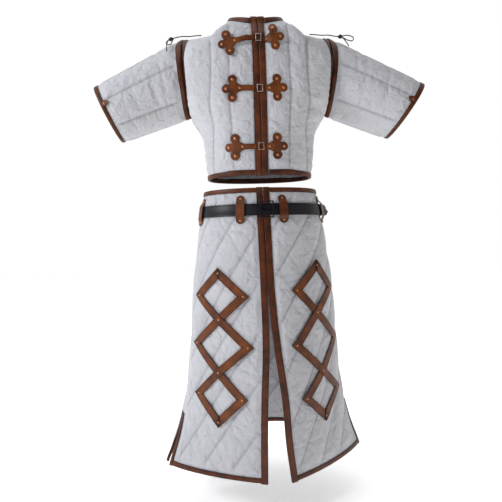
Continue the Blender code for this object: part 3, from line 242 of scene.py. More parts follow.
def sleeveSkin(t, w, cuff):
    t, w = np.broadcast_arrays(np.asarray(t, float), np.asarray(w, float))
    turn = 2 * math.pi * t
    share = (1 - np.cos(turn)) / 2
    z = jacket["armpitZ"] + share * (jacket["tip"][1] - jacket["armpitZ"])
    away = 1 - np.abs(np.cos(turn)) ** 2.2
    gap = cuff["gap"] + (sleeve["gapOnTop"] - cuff["gap"]) * smooth((share - 0.86) / 0.14)
    head = np.stack([readTable(torsoRows, "half", z) + gap,
                     -np.sign(np.sin(turn)) * jacket["armholeHalf"] * away, z], axis=-1)
    lean = math.radians(cuff["lean"])
    up = np.array((math.sin(lean), 0, math.cos(lean))) * cuff["high"] / 2
    deep = np.array((0, cuff["deep"] / 2, 0))
    centre = np.array((cuff["x"], cuff["y"], cuff["z"]))
    rim = centre - up * np.cos(turn)[..., None] - deep * np.sin(turn)[..., None]
    point = head * (1 - w)[..., None] + rim * w[..., None]
    point[..., 1] -= sleeve["fullness"] * 4 * w * (1 - w) * np.sin(turn)
    return point


def ringPoint(share, z, half):
    share, z = np.broadcast_arrays(np.asarray(share, float), np.asarray(z, float))
    power = 2 / readTable(skirtRows, half + "Power", z)
    turn = share * math.pi / 2
    x = readTable(skirtRows, "half", z) * np.sin(turn) ** power
    y = readTable(skirtRows, half, z) * np.maximum(np.cos(turn), 0) ** power
    return np.stack([x, y if half == "back" else -y, z], axis=-1)


def turned(points, z, sign):
    angle = math.radians(skirt["turn"]) * readTable(skirtRows, "turn", z)
    x, y = points[..., 0] * sign, points[..., 1]
    return np.stack([x * np.cos(angle) - y * np.sin(angle), x * np.sin(angle) + y * np.cos(angle),
                     points[..., 2]], axis=-1)


ringShares = np.linspace(0, 1, 81)


def ringRun(z, half):
    points = ringPoint(ringShares, np.full(81, float(z)), half)
    return np.concatenate([[0], np.cumsum(np.linalg.norm(np.diff(points, axis=0), axis=1))])


def opening(z, sign):
    return readTable(skirtRows, "leftOpening" if sign > 0 else "rightOpening", z)


def sideSlit(z):
    down = (skirt["slitTop"] - z) / (skirt["slitTop"] - skirt["hemZ"])
    below = skirt["slitStart"] + skirt["slitSpread"] * down
    return skirt["seamGap"] + (below - skirt["seamGap"]) * smooth((skirt["slitTop"] + 0.006 - z) / 0.012)


def skirtWidth(z, half, sign):
    start = opening(z, sign) if half == "front" else 0.0
    return ringRun(z, half)[-1] - sideSlit(z) - start


def skirtSkin(s, z, half, sign):
    # inner face at arcs s of one height z, before the ring is turned
    start = opening(z, sign) if half == "front" else 0.0
    share = np.interp(np.asarray(s, float) + start, ringRun(z, half), ringShares)
    return ringPoint(share, np.full(share.shape, float(z)), half)


def skirtAt(s, z, half, sign):
    # points and normals for arrays of arc and height
    s, z = np.asarray(s, float), np.asarray(z, float)
    points, normals = np.empty(s.shape + (3,)), np.empty(s.shape + (3,))
    step = 0.004
    for at in np.ndindex(s.shape):
        here, level = s[at], z[at]
        row = skirtSkin(np.array((max(here - step, 0), here, here + step)), level, half, sign)
        above = skirtSkin(np.array((here,)), min(level + step, skirt["waistZ"]), half, sign)[0]
        below = skirtSkin(np.array((here,)), max(level - step, skirt["hemZ"]), half, sign)[0]
        normal = np.cross(row[2] - row[0], above - below) * (-1 if half == "back" else 1)
        points[at] = turned(row[1], level, sign)
        normals[at] = turned(units(normal), level, sign)
    return points, normals


waistFront, waistBack = ringRun(belt["z"], "front"), ringRun(belt["z"], "back")
waistTotal = 2 * (waistFront[-1] + waistBack[-1])


def waistAt(arc, z, lift):
    # the point at this arc round the waist from the centre front, this far out from the cloth's inner face
    arc = arc % waistTotal
    sign = 1 if arc <= waistTotal / 2 else -1
    arc = min(arc, waistTotal - arc)
    half, run = ("front", waistFront) if arc <= waistFront[-1] else ("back", waistBack)
    if half == "back":
        arc = waistTotal / 2 - arc
    share = float(np.interp(arc, run, ringShares))
    shares = np.array((min(share + 0.01, 1), share, max(share - 0.01, 0)))
    ahead, here, behind = ringPoint(shares, np.full(3, z), half)
    normal = np.cross(ahead - behind, (0, 0, 1)) * (-1 if half == "back" else 1)
    if share >= 1 - 1e-9:
        normal = np.array((1.0, 0, 0))
    elif share <= 1e-9:
        normal = np.array((0, 1.0 if half == "back" else -1.0, 0))
    return turned(here, z, sign) + turned(units(normal), z, sign) * lift


# colours and materials

def hexColour(code):
    channels = [int(code[k:k + 2], 16) / 255 for k in (1, 3, 5)]
    return (*(c / 12.92 if c <= 0.04045 else ((c + 0.055) / 1.055) ** 2.4 for c in channels), 1.0)


def addNode(tree, kind, settings=None, links=None):
    node = tree.nodes.new(kind)
    for key, value in (settings or {}).items():
        if hasattr(node, str(key)) and not isinstance(key, int):
            setattr(node, key, value)
        else:
            node.inputs[key].default_value = value
    for key, source in (links or {}).items():
        tree.links.new(source, node.inputs[key])
    return node


def newMaterial(name):
    material = bpy.data.materials.new(name)
    material.use_nodes = True
    tree = material.node_tree
    return material, tree, tree.nodes["Principled BSDF"]


# quilted cotton: matt undyed cloth over wadding, with painted shade along the quilted seams
quilting = {"light": "#C9C9CC", "shade": "#B5B5B9", "line": "#9C9BA0", "soil": "#B5AFA8", "threadMm": 1.4,
            "roughness": 0.88, "sheen": 0.12, "blotchMm": 90, "soilScale": 7.0,
            "crumpleMm": 27}


def makeQuiltedCotton():
    material, tree, shader = newMaterial("wovenQuiltedCotton")
    uv = addNode(tree, "ShaderNodeTexCoord").outputs["UV"]
    where = addNode(tree, "ShaderNodeTexCoord").outputs["Object"]
    # the mask of painted shade along the quilted seams
    line = addNode(tree, "ShaderNodeAttribute", {"attribute_name": "sewn"}).outputs["Fac"]
    blotch = addNode(tree, "ShaderNodeTexNoise", {"Scale": 1000 / quilting["blotchMm"], "Detail": 4.0},
                     {"Vector": where})
    soil = addNode(tree, "ShaderNodeTexNoise", {"Scale": quilting["soilScale"], "Detail": 6.0,
                                                "Roughness": 0.65}, {"Vector": where})
    tone = addNode(tree, "ShaderNodeMix", {"data_type": "RGBA"}, {0: blotch.outputs["Fac"]})
    tone.inputs[6].default_value = hexColour(quilting["shade"])
    tone.inputs[7].default_value = hexColour(quilting["light"])
    stain = addNode(tree, "ShaderNodeMapRange", {"From Min": 0.60, "From Max": 0.80, "To Max": 0.28},
                    {"Value": soil.outputs["Fac"]})
    soiled = addNode(tree, "ShaderNodeMix", {"data_type": "RGBA"}, {0: stain.outputs[0], 6: tone.outputs[2]})
    soiled.inputs[7].default_value = hexColour(quilting["soil"])
    # darkens the cloth along the seams with painted shade, in the line colour
    shadedSeams = addNode(tree, "ShaderNodeMix", {"data_type": "RGBA"}, {0: line, 6: soiled.outputs[2]})
    shadedSeams.inputs[7].default_value = hexColour(quilting["line"])
    tree.links.new(shadedSeams.outputs[2], shader.inputs["Base Color"])
    # plain weave, drawn at the thread spacing
    threads = []
    for direction in ("X", "Y"):
        threads.append(addNode(tree, "ShaderNodeTexWave", {"wave_type": "BANDS", "bands_direction": direction,
                                                           "Scale": 1000 / quilting["threadMm"] / 20,
                                                           "Distortion": 0.6, "Detail": 1.0}, {"Vector": uv}))
    weave = addNode(tree, "ShaderNodeMath", {"operation": "MAXIMUM"},
                    {0: threads[0].outputs["Fac"], 1: threads[1].outputs["Fac"]})
    # the covering cloth is a little loose over the wadding, so that it puckers softly everywhere
    crumple = addNode(tree, "ShaderNodeTexNoise", {"Scale": 1000 / quilting["crumpleMm"], "Detail": 2.5,
                                                   "Roughness": 0.45, "Distortion": 0.7}, {"Vector": where})
    fine = addNode(tree, "ShaderNodeBump", {"Strength": 0.22, "Distance": 0.0004},
                   {"Height": weave.outputs[0]})
    soft = addNode(tree, "ShaderNodeBump", {"Strength": 0.80, "Distance": 0.0120},
                   {"Height": crumple.outputs["Fac"], "Normal": fine.outputs[0]})
    tree.links.new(soft.outputs[0], shader.inputs["Normal"])
    shader.inputs["Roughness"].default_value = quilting["roughness"]
    shader.inputs["Sheen Weight"].default_value = quilting["sheen"]
    shader.inputs["Sheen Roughness"].default_value = 0.5
    return material


# bridle leather: waxed cowhide, darker at its burnished edges, with painted shade in creased grooves and a
# soft uneven shine
hide = {"grainMm": 1.1, "mottleMm": 38}


def makeLeather(name, dark, light, edge, roughness, shine):
    material, tree, shader = newMaterial(name)
    where = addNode(tree, "ShaderNodeTexCoord").outputs["Object"]
    # the rim mark: burnished edges, and painted shade in the creased grooves of bindings and belt
    rim = addNode(tree, "ShaderNodeAttribute", {"attribute_name": "rim"}).outputs["Fac"]
    mottle = addNode(tree, "ShaderNodeTexNoise", {"Scale": 1000 / hide["mottleMm"], "Detail": 5.0,
                                                  "Roughness": 0.6}, {"Vector": where})
    ramp = addNode(tree, "ShaderNodeMapRange", {"From Min": 0.35, "From Max": 0.68},
                   {"Value": mottle.outputs["Fac"]})
    body = addNode(tree, "ShaderNodeMix", {"data_type": "RGBA"}, {0: ramp.outputs[0]})
    body.inputs[6].default_value = hexColour(dark)
    body.inputs[7].default_value = hexColour(light)
    rimmed = addNode(tree, "ShaderNodeMix", {"data_type": "RGBA"}, {0: rim, 6: body.outputs[2]})
    rimmed.inputs[7].default_value = hexColour(edge)
    tree.links.new(rimmed.outputs[2], shader.inputs["Base Color"])
    grain = addNode(tree, "ShaderNodeTexVoronoi", {"Scale": 1000 / hide["grainMm"], "feature": "F1"},
                    {"Vector": where})
    creased = addNode(tree, "ShaderNodeTexNoise", {"Scale": 140.0, "Detail": 4.0}, {"Vector": where})
    fine = addNode(tree, "ShaderNodeBump", {"Strength": 0.25, "Distance": 0.0003, "invert": True},
                   {"Height": grain.outputs["Distance"]})
    soft = addNode(tree, "ShaderNodeBump", {"Strength": 0.35, "Distance": 0.0008},
                   {"Height": creased.outputs["Fac"], "Normal": fine.outputs[0]})
    tree.links.new(soft.outputs[0], shader.inputs["Normal"])
    gloss = addNode(tree, "ShaderNodeMapRange", {"To Min": roughness - 0.10, "To Max": roughness + 0.16},
                    {"Value": mottle.outputs["Fac"]})
    tree.links.new(gloss.outputs[0], shader.inputs["Roughness"])
    shader.inputs["Specular IOR Level"].default_value = 0.30
    shader.inputs["Coat Weight"].default_value = shine
    shader.inputs["Coat Roughness"].default_value = 0.35
    return material


def makeMetal(name, colour, worn, roughness):
    material, tree, shader = newMaterial(name)
    where = addNode(tree, "ShaderNodeTexCoord").outputs["Object"]
    patina = addNode(tree, "ShaderNodeTexNoise", {"Scale": 260.0, "Detail": 5.0}, {"Vector": where})
    body = addNode(tree, "ShaderNodeMix", {"data_type": "RGBA"}, {0: patina.outputs["Fac"]})
    body.inputs[6].default_value = hexColour(worn)
    body.inputs[7].default_value = hexColour(colour)
    tree.links.new(body.outputs[2], shader.inputs["Base Color"])
    shader.inputs["Metallic"].default_value = 1.0
    gloss = addNode(tree, "ShaderNodeMapRange", {"To Min": roughness - 0.08, "To Max": roughness + 0.2},
                    {"Value": patina.outputs["Fac"]})
    tree.links.new(gloss.outputs[0], shader.inputs["Roughness"])
    return material


# waxed cotton cord: twisted black thread with a dull shine; the twist shows as fine slanting grooves
lace = {"diameter": 0.0034, "spacing": 0.0042, "knotAt": 5, "knot": (0.0082, 0.0062, 0.0066),
        "twistMm": 1.6, "colour": "#15151A"}


def makeWaxedCord():
    material, tree, shader = newMaterial("twistedWaxedCotton")
    where = addNode(tree, "ShaderNodeTexCoord").outputs["Object"]
    twist = addNode(tree, "ShaderNodeTexWave", {"wave_type": "BANDS", "bands_direction": "DIAGONAL",
                                                "Scale": 1000 / lace["twistMm"] / 20, "Distortion": 1.0},
                    {"Vector": where})
    bump = addNode(tree, "ShaderNodeBump", {"Strength": 0.6, "Distance": 0.0004},
                   {"Height": twist.outputs["Fac"]})
    tree.links.new(bump.outputs[0], shader.inputs["Normal"])
    shader.inputs["Base Color"].default_value = hexColour(lace["colour"])
    shader.inputs["Roughness"].default_value = 0.62
    return material


finishes = {
    "cotton": makeQuiltedCotton(),
    "binding": makeLeather("rolledBridleLeather", "#381805", "#672F08", "#260F05", 0.48, 0.04),
    "strap": makeLeather("cutBridleLeather", "#482006", "#7A3E0C", "#2C1306", 0.48, 0.05),
    "belt": makeLeather("dyedHarnessLeather", "#09080C", "#15131A", "#060508", 0.42, 0.06),
    "copper": makeMetal("domedCopper", "#E2A983", "#A86A4A", 0.26),
    "iron": makeMetal("tumbledIron", "#D8CFC6", "#8D8278", 0.28),
    "darkIron": makeMetal("blackenedIron", "#3A3A40", "#1C1C20", 0.34),
    "lace": makeWaxedCord(),
}
print("materials made")


# making a piece from a grid of points

def finishPiece(name, bm, finish):
    mesh = bpy.data.meshes.new(name)
    bm.to_mesh(mesh)
    bm.free()
    mesh.shade_smooth()
    obj = bpy.data.objects.new(name, mesh)
    bpy.context.collection.objects.link(obj)
    mesh.materials.append(finishes[finish])
    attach(obj, "root")
    return obj


def layGrid(name, points, normals, pattern, finish, marks, markName="sewn", joined=False):
    # a sheet through points[row, column], with its pattern coordinates in metres as the UV map
    rows, columns = points.shape[:2]
    bm = bmesh.new()
    uv = bm.loops.layers.uv.new("UVMap")
    mark = bm.verts.layers.float.new(markName)
    bmesh.ops.create_grid(bm, x_segments=columns - 1, y_segments=rows - 1, size=0.5)
    bm.verts.ensure_lookup_table()
    flat = np.array([v.co[:2] for v in bm.verts]) + 0.5
    i = np.rint(flat[:, 0] * (columns - 1)).astype(int)
    j = np.rint(flat[:, 1] * (rows - 1)).astype(int)
    for vert, a, b in zip(bm.verts, j, i):
        vert.co = points[a, b]
        vert[mark] = float(marks[a, b])
    bm.verts.index_update()
    for face in bm.faces:
        for loop in face.loops:
            k = loop.vert.index
            loop[uv].uv = pattern[j[k], i[k]]
    bm.normal_update()
    outward = normals[j, i]
    votes = sum(face.normal.dot(Vector(outward[face.verts[0].index])) for face in list(bm.faces)[::37])
    if votes < 0:
        bmesh.ops.reverse_faces(bm, faces=bm.faces[:])
    if joined:
        bmesh.ops.remove_doubles(bm, verts=bm.verts[:], dist=1e-6)
    return finishPiece(name, bm, finish)


def gridNormals(points, way, wrap=False):
    # outward normals of points[row, column] from their neighbours
    if wrap:
        around = np.concatenate([points[:, -2:-1], points, points[:, 1:2]], axis=1)
        across = around[:, 2:] - around[:, :-2]
    else:
        across = np.gradient(points, axis=1)
    along = np.gradient(points, axis=0)
    return units(np.cross(across, along)) * way


def stiffen(obj, thickness):
    wall = obj.modifiers.new("wall", "SOLIDIFY")
    wall.thickness = thickness
    wall.offset = -1.0
    wall.use_even_offset = False


def layPanel(name, node, grid, joined=False):
    # a quilted panel of its full thickness
    piece = layGrid(name, grid["outer"], grid["normals"], grid["pattern"], "cotton",
                    grid["sewn"], joined=joined)
    stiffen(piece, cloth["thick"])
    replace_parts(piece, node)
    return piece


def wholeBack(grids):
    # both halves of a back as one panel
    right, left = grids["back", -1], grids["back", 1]
    return {key: np.concatenate([right[key][:, ::-1], left[key][:, 1:]], axis=1)
            for key in ("outer", "normals", "pattern", "sewn")}


def softenRim(piece):
    rounded = piece.modifiers.new("rounded", "BEVEL")
    rounded.width = 0.0006
    rounded.segments = 2
    rounded.limit_method = "ANGLE"
    rounded.angle_limit = math.radians(50)


def creaseField(s, z, creases):
    # soft folds: place (s, z), direction in degrees, length, width and height of each, in metres
    relief = np.zeros(np.broadcast(s, z).shape)
    for s0, z0, lean, length, width, height in creases:
        turn = math.radians(lean)
        along = (s - s0) * math.cos(turn) + (z - z0) * math.sin(turn)
        aside = -(s - s0) * math.sin(turn) + (z - z0) * math.cos(turn)
        bowed = aside - 0.12 * along * along / max(length, 1e-3)
        relief += height * np.exp(-(bowed / width) ** 2) * smooth(1.0 - np.abs(along) / length)
    return relief


def ripples(s, z, spacing, seed):
    # small puckers that a sewn line draws into the cloth beside it
    return (np.sin(2 * math.pi * z / spacing + 1.7 * np.sin(31 * z + seed))
            * (0.6 + 0.4 * np.sin(13 * z + 2.1 * seed + 9 * s)))


# the jacket

jacketCreases = {
    "front": {
        -1: ((0.13, -0.155, 78, 0.060, 0.006, -0.0022), (0.20, -0.150, 84, 0.060, 0.006, -0.0022),
             (0.22, -0.36, 12, 0.085, 0.006, -0.0030), (0.23, -0.39, 8, 0.075, 0.006, -0.0026),
             (0.22, -0.425, 4, 0.080, 0.007, -0.0024), (0.20, -0.30, 35, 0.080, 0.008, -0.0026),
             (0.15, -0.47, -10, 0.060, 0.007, -0.0018), (0.12, -0.20, 60, 0.070, 0.009, -0.0016),
             (0.05, -0.36, 70, 0.060, 0.008, -0.0012), (0.23, -0.46, 2, 0.060, 0.006, -0.0020),
             (0.21, -0.50, -4, 0.070, 0.006, -0.0018)),
        1: ((0.14, -0.150, 80, 0.060, 0.006, -0.0022), (0.24, -0.190, 86, 0.080, 0.006, -0.0026),
            (0.21, -0.33, 18, 0.090, 0.006, -0.0030), (0.22, -0.375, 12, 0.080, 0.006, -0.0028),
            (0.21, -0.415, 6, 0.075, 0.006, -0.0024), (0.19, -0.455, 4, 0.070, 0.007, -0.0022),
            (0.20, -0.50, -2, 0.075, 0.006, -0.0020), (0.13, -0.24, 50, 0.080, 0.009, -0.0018),
            (0.17, -0.28, 30, 0.070, 0.008, -0.0022), (0.10, -0.43, -30, 0.060, 0.008, -0.0012)),
    },
    "back": {
        -1: ((0.20, -0.37, 15, 0.090, 0.007, -0.0028), (0.18, -0.43, 6, 0.080, 0.007, -0.0024),
             (0.10, -0.30, 40, 0.090, 0.009, -0.0018), (0.15, -0.50, 2, 0.090, 0.007, -0.0020)),
        1: ((0.21, -0.36, 12, 0.085, 0.007, -0.0028), (0.19, -0.44, 2, 0.085, 0.007, -0.0022),
            (0.12, -0.26, 50, 0.080, 0.009, -0.0018), (0.14, -0.49, -3, 0.080, 0.007, -0.0020)),
    },
}


def jacketHalf(half, sign):
    # rows of points, normals and pattern of one half of the torso, on its own side
    m = jacket["across"]
    bands = 5 if half == "front" else 4
    q = np.linspace(0, bands, bands * m + 1)
    vs = np.unique(np.concatenate([np.linspace(0, 1, jacket["along"] + 1), jacket["bandRows"]]))
    skin, arcs = [], []
    for v in vs:
        lines = torsoLines(v, half)[0]
        u = np.interp(q, np.arange(len(lines)), lines)
        point = torsoSkin(u, np.full(u.shape, v), half)
        if half == "front":
            point[:, 0] += jacket["frontEdge"] * (1 - smooth(u / 0.6))
        us, rows, table = runs[half]
        run = np.array([np.interp(v, rows, table[:, k]) for k in range(len(us))])
        arcs.append(np.interp(u, us, run))
        skin.append(point)
    skin, s = np.array(skin), np.array(arcs)
    normals = gridNormals(skin, -halves[half]["way"])
    onSeam = skin[:, -1, 2] <= jacket["armpitZ"] + 0.001
    normals[onSeam, -1, 1] = 0
    if half == "back":
        normals[:, 0, 0] = 0
        skin[:, 0, 0] = 0
    skin[onSeam, -1, 1] = halves[half]["way"] * 0.00015
    normals = units(normals)
    first = 1 if half == "front" else 0
    place = q - first
    within = (place >= 0) & (place <= 3)
    crest = np.where(within, np.abs(np.sin(math.pi * place)), 0.0)[None, :]
    v = vs[:, None]
    raised = crest ** 0.62 * smooth((v - 0.027) / 0.05) * smooth((0.965 - v) / 0.07)
    raised = raised * (1 - 0.45 * smooth((v - 0.78) / 0.12))
    if half == "front":
        raised = raised * (0.5 + 0.5 * smooth((s - leatherTrim["frontStrip"]) / 0.03))
    z = skin[..., 2]
    near = np.exp(-crest / 0.45)
    pucker = jacket["ripple"] * ripples(s * sign, z, 0.021, 1.3 if half == "front" else 2.9) * near
    pucker = pucker * smooth((v - 0.03) / 0.04) * smooth((0.95 - v) / 0.06) * within[None, :]
    folds = creaseField(s, z, jacketCreases[half][sign]) * smooth((v - 0.03) / 0.04)
    puff = cloth["jacketPad"] * raised + pucker * 0.8 + folds
    relief = cloth["edge"] + np.clip(puff, 0.0, cloth["jacketPad"] + 0.0012)
    # mask of painted shade along the quilting lines
    sewn = np.where(within[None, :], np.exp(-(crest / 0.07) ** 2), 0.0) * smooth((v - 0.02) / 0.03)
    pattern = np.stack([s * sign, z], axis=-1)
    return {"skin": mirrored(skin, sign), "normals": mirrored(normals, sign), "vs": vs, "m": m,
            "outer": mirrored(skin + normals * relief[..., None], sign), "pattern": pattern, "sewn": sewn}


jacketGrids = {}
for sideName, sign in sides:
    for half in ("front", "back"):
        jacketGrids[half, sign] = jacketHalf(half, sign)
    piece = layPanel(f"quiltedFront_{sideName}", f"jacket_front_{sideName}", jacketGrids["front", sign])
piece = layPanel("quiltedBack", "jacket_back", wholeBack(jacketGrids))
print("jacket panels made")


# bindings: leather folded over an edge, along its points and the points a band's width in
foldReach = 0.016                              # what a share of one is past the edge, where the leather turns


def bindEdge(name, node, edge, beyond, edgeUp, beyondUp, closed=False, ends=(0.0, 0.0), lift=0.0, soften=1,
             over=0.0):
    edge, beyond = np.array(edge, float), np.array(beyond, float)
    edgeUp, beyondUp = units(np.array(edgeUp, float)), units(np.array(beyondUp, float))
    for _ in range(soften):
        for line in (beyond, beyondUp, edgeUp):
            middle = (line + np.roll(line, 1, axis=0) + np.roll(line, -1, axis=0)) / 3
            if closed:
                line[:] = middle
            else:
                line[1:-1] = middle[1:-1]
    inward = units(beyond - edge)
    if not closed:
        for length, a, b in ((ends[0], 0, 1), (ends[1], -1, -2)):
            way = units(edge[b] - edge[a])
            edge[a] += way * length
            beyond[a] += way * length
    thick, clear = leatherTrim["thick"], leatherTrim["clear"]
    top = cloth["edge"] + clear + lift
    full, middle = top + thick, cloth["edge"] / 2
    # the section: share of the band, height, and how dark the leather is painted there: darkest at the
    # burnished cut edges, darker round the fold, with painted shade in the creased groove
    section = (
        (1.00, top + 0.2 * thick, 1.0), (1.00, full - 0.0006, 1.0), (0.95, full - 0.0001, 0.7),
        (0.86, full - 0.0002, 0.1), (0.80, full - 0.0007, 0.5), (0.74, full - 0.0001, 0.1),
        (0.55, full + 0.0002, 0.0), (0.30, full + 0.0002, 0.0), (0.10, full, 0.1), (0.0, full - 0.0003, 0.2),
        (-0.07, full - 0.0011, 0.35), (-0.13, full - 0.0030, 0.5), (-0.14, middle, 0.6),
        (-0.13, -0.0005, 0.5),
        (-0.07, -0.0019, 0.4), (0.0, -0.0023, 0.3), (0.5, -0.0023, 0.1), (1.0, -0.0022, 0.8),
        (1.0, -0.0008, 0.9), (0.5, -0.0006, 0.5), (0.0, -0.0005, 0.5), (-0.02, middle, 0.5), (0.0, top, 0.5),
        (0.5, top, 0.5), (1.00, top + 0.2 * thick, 1.0),
    )
    rows, marks = [], []
    for share, height, dark in section:
        if share >= 0:
            up = edgeUp * (1 - share) + beyondUp * share
            rows.append(edge + (beyond - edge) * share + up * height)
        else:
            rows.append(edge + inward * (share * foldReach - over) + edgeUp * height)
        marks.append(np.full(len(edge), dark))
    points = np.array(rows).transpose(1, 0, 2)
    marks = np.array(marks).T
    if closed:
        points = np.concatenate([points, points[:1]])
        marks = np.concatenate([marks, marks[:1]])
    run = np.concatenate([[0], np.cumsum(np.linalg.norm(np.diff(points[:, 6], axis=0), axis=1))])
    fold = np.concatenate([[0], np.cumsum(np.linalg.norm(np.diff(points[0], axis=0), axis=1))])
    pattern = np.stack(np.meshgrid(run, fold, indexing="ij"), axis=-1)
    out = np.gradient(points, axis=0)
    around = np.gradient(points, axis=1)
    normals = units(np.cross(around, out))
    way = np.sign(np.sum(normals[:, 6] * (edgeUp if not closed else np.concatenate([edgeUp, edgeUp[:1]]))))
    piece = layGrid(name, points, normals * way, pattern, "binding", marks, "rim",
                    joined=True)
    if not closed:
        closeEnds(piece)
    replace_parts(piece, node)


def closeEnds(piece):
    # caps the two open ends of a folded strip
    bm = bmesh.new()
    bm.from_mesh(piece.data)
    rims = [edge for edge in bm.edges if edge.is_boundary]
    filled = bmesh.ops.holes_fill(bm, edges=rims, sides=0)
    bmesh.ops.triangulate(bm, faces=[face for face in filled["faces"] if len(face.verts) > 4])
    bm.to_mesh(piece.data)
    bm.free()


def columnEdge(grid, k, beyond, rows):
    return (grid["skin"][rows, k], grid["skin"][rows, beyond], grid["normals"][rows, k],
            grid["normals"][rows, beyond])


def rowEdge(grid, r, beyond, columns):
    return (grid["skin"][r, columns], grid["skin"][beyond, columns], grid["normals"][r, columns],
            grid["normals"][beyond, columns])


def chained(*parts):
    # edges laid end to end, each point once
    return [np.concatenate([part[k][min(n, 1):] for n, part in enumerate(parts)]) for k in range(4)]


def reversedEdge(part):
    return [line[::-1] for line in part]


def nearest(values, at):
    return int(np.argmin(np.abs(values - at)))


every = slice(None)
neckRow = nearest(jacketGrids["front", 1]["vs"], jacket["neckRow"])
for sideName, sign in sides:
    grid, back = jacketGrids["front", sign], jacketGrids["back", sign]
    m, vs = grid["m"], grid["vs"]
    bandRow = nearest(vs, jacket["bandRows"][0])
    bindEdge(f"frontStrip_{sideName}", f"front_strip_{sideName}", *columnEdge(grid, 0, m, every),
             ends=(-0.003, -0.005), over=0.0004)
    bindEdge(f"hemBinding_{sideName}", f"hem_binding_{sideName}",
             *rowEdge(grid, 0, bandRow, slice(m, None)), ends=(0.0008, 0.0003))
    armpit = nearest(grid["skin"][:, -1, 2], jacket["armpitZ"])
    rise = columnEdge(grid, -1, -1 - m, slice(armpit, None))
    fall = reversedEdge(columnEdge(back, -1, -1 - m, slice(armpit, None)))
    ring = chained(rise, fall)
    ring = [line[:-1] for line in ring]
    top = len(rise[0]) - 1
    bands = ring[1] - ring[0]
    ring[1][top] = ring[0][top] + (bands[top - 1] + bands[top + 1]) / 2
    foot = ring[0][0]
    down = units(grid["skin"][armpit - 4, -1] - foot)
    ring[1][0] = foot + down * jacket["band"]
    ring[3][0] = ring[2][0]
    bindEdge(f"armholeBinding_{sideName}", f"armhole_binding_{sideName}", *ring, closed=True, lift=0.0004,
             soften=3, over=0.0036)
hemParts = [rowEdge(jacketGrids["back", sign], 0, bandRow, every) for sign in (-1, 1)]
bindEdge("hemBinding_back", "hem_binding_back", *chained(reversedEdge(hemParts[0]), hemParts[1]),
         ends=(0.0003, 0.0003))
neckParts = []
for sign in (-1, 1):
    grid, back = jacketGrids["front", sign], jacketGrids["back", sign]
    m = grid["m"]
    front = rowEdge(grid, -1, neckRow, slice(m, 2 * m + 1))
    behind = reversedEdge(rowEdge(back, -1, neckRow, slice(0, m + 1)))
    half = chained(front, behind)
    half[1][m] = (half[1][m - 1] + half[1][m + 1]) / 2
    neckParts.append(half)
bindEdge("neckBinding", "neck_binding", *chained(neckParts[0], reversedEdge(neckParts[1])),
         ends=(0.0008, 0.0008), lift=0.0012, soften=3)
print("jacket bindings made")


# the sleeves

sleeveCreases = {
    "right": ((0.10, 0.35, 28, 0.110, 0.008, -0.0030), (0.13, 0.60, 22, 0.100, 0.008, -0.0026),
              (0.06, 0.72, 35, 0.090, 0.007, -0.0024), (0.17, 0.25, 30, 0.100, 0.008, -0.0028),
              (0.20, 0.55, 18, 0.090, 0.008, -0.0022), (0.24, 0.30, 12, 0.090, 0.009, -0.0022),
              (0.40, 0.45, -20, 0.100, 0.009, -0.0022), (0.46, 0.70, 16, 0.080, 0.008, -0.0020)),
    "left": ((0.11, 0.40, -26, 0.110, 0.008, -0.0030), (0.14, 0.66, -22, 0.100, 0.008, -0.0026),
             (0.06, 0.55, -32, 0.090, 0.007, -0.0026), (0.18, 0.28, -30, 0.100, 0.008, -0.0026),
             (0.21, 0.62, -16, 0.090, 0.008, -0.0022), (0.25, 0.36, -12, 0.090, 0.009, -0.0022),
             (0.41, 0.50, 20, 0.100, 0.009, -0.0022), (0.47, 0.66, -16, 0.080, 0.008, -0.0020)),
}
for cuff in cuffs:
    sideName, sign = cuff["side"], cuff["sign"]
    ts = np.linspace(0, 1, sleeve["around"] + 1)
    headShare, cuffShare = sleeve["headBand"] / sleeve["length"], sleeve["cuffBand"] / sleeve["length"]
    ws = np.unique(np.concatenate([np.linspace(0, 1, sleeve["along"] + 1), [headShare, 1 - cuffShare]]))
    skin = sleeveSkin(ts[None, :], ws[:, None], cuff)
    normals = gridNormals(skin, -1, wrap=True)
    centreLine = skin[:, :-1].mean(axis=1, keepdims=True)
    normals *= np.sign(np.sum(normals * (skin - centreLine), axis=-1, keepdims=True))
    normals[:, -1] = normals[:, 0]
    w, t = ws[:, None], ts[None, :]
    crest = np.abs(np.sin(math.pi * t * sleeve["channels"]))
    flat = smooth((w - headShare) / 0.08) * smooth((1 - cuffShare - w) / 0.08)
    s, along = t * sleeve["round"], w * sleeve["length"]
    folds = creaseField(s, w, [(a, b, c, d, e * 3, f) for a, b, c, d, e, f in sleeveCreases[sideName]]) * flat
    pucker = 0.0011 * ripples(s, along, 0.019, 0.7 + sign) * np.exp(-crest / 0.4) * flat
    puff = cloth["sleevePad"] * crest ** 0.62 * flat + folds + pucker
    relief = cloth["edge"] + np.clip(puff, 0, cloth["sleevePad"] + 0.001)
    # mask of painted shade along the quilted channels
    sewn = np.exp(-(crest / 0.12) ** 2) * flat
    pattern = np.stack(np.broadcast_arrays(s, along), axis=-1)
    outer = mirrored(skin + normals * relief[..., None], sign)
    skin, normals = mirrored(skin, sign), mirrored(normals, sign)
    grid = {"outer": outer, "normals": normals, "pattern": pattern, "sewn": sewn}
    piece = layPanel(f"quiltedSleeve_{sideName}", f"sleeve_{sideName}", grid, joined=True)
    headRow, cuffRow = nearest(ws, headShare), nearest(ws, 1 - cuffShare)
    for label, node, r, beyond in (("sleeveHeadBinding", "sleeve_head_binding", 0, headRow),
                                   ("cuffBinding", "cuff_binding", -1, cuffRow)):
        ring = [line[:-1:2] for line in (skin[r], skin[beyond], normals[r], normals[beyond])]
        bindEdge(f"{label}_{sideName}", f"{node}_{sideName}", *ring, closed=True,
                 over=sleeve["headOver"] if r == 0 else 0.0)
print("sleeves made")


# the skirt

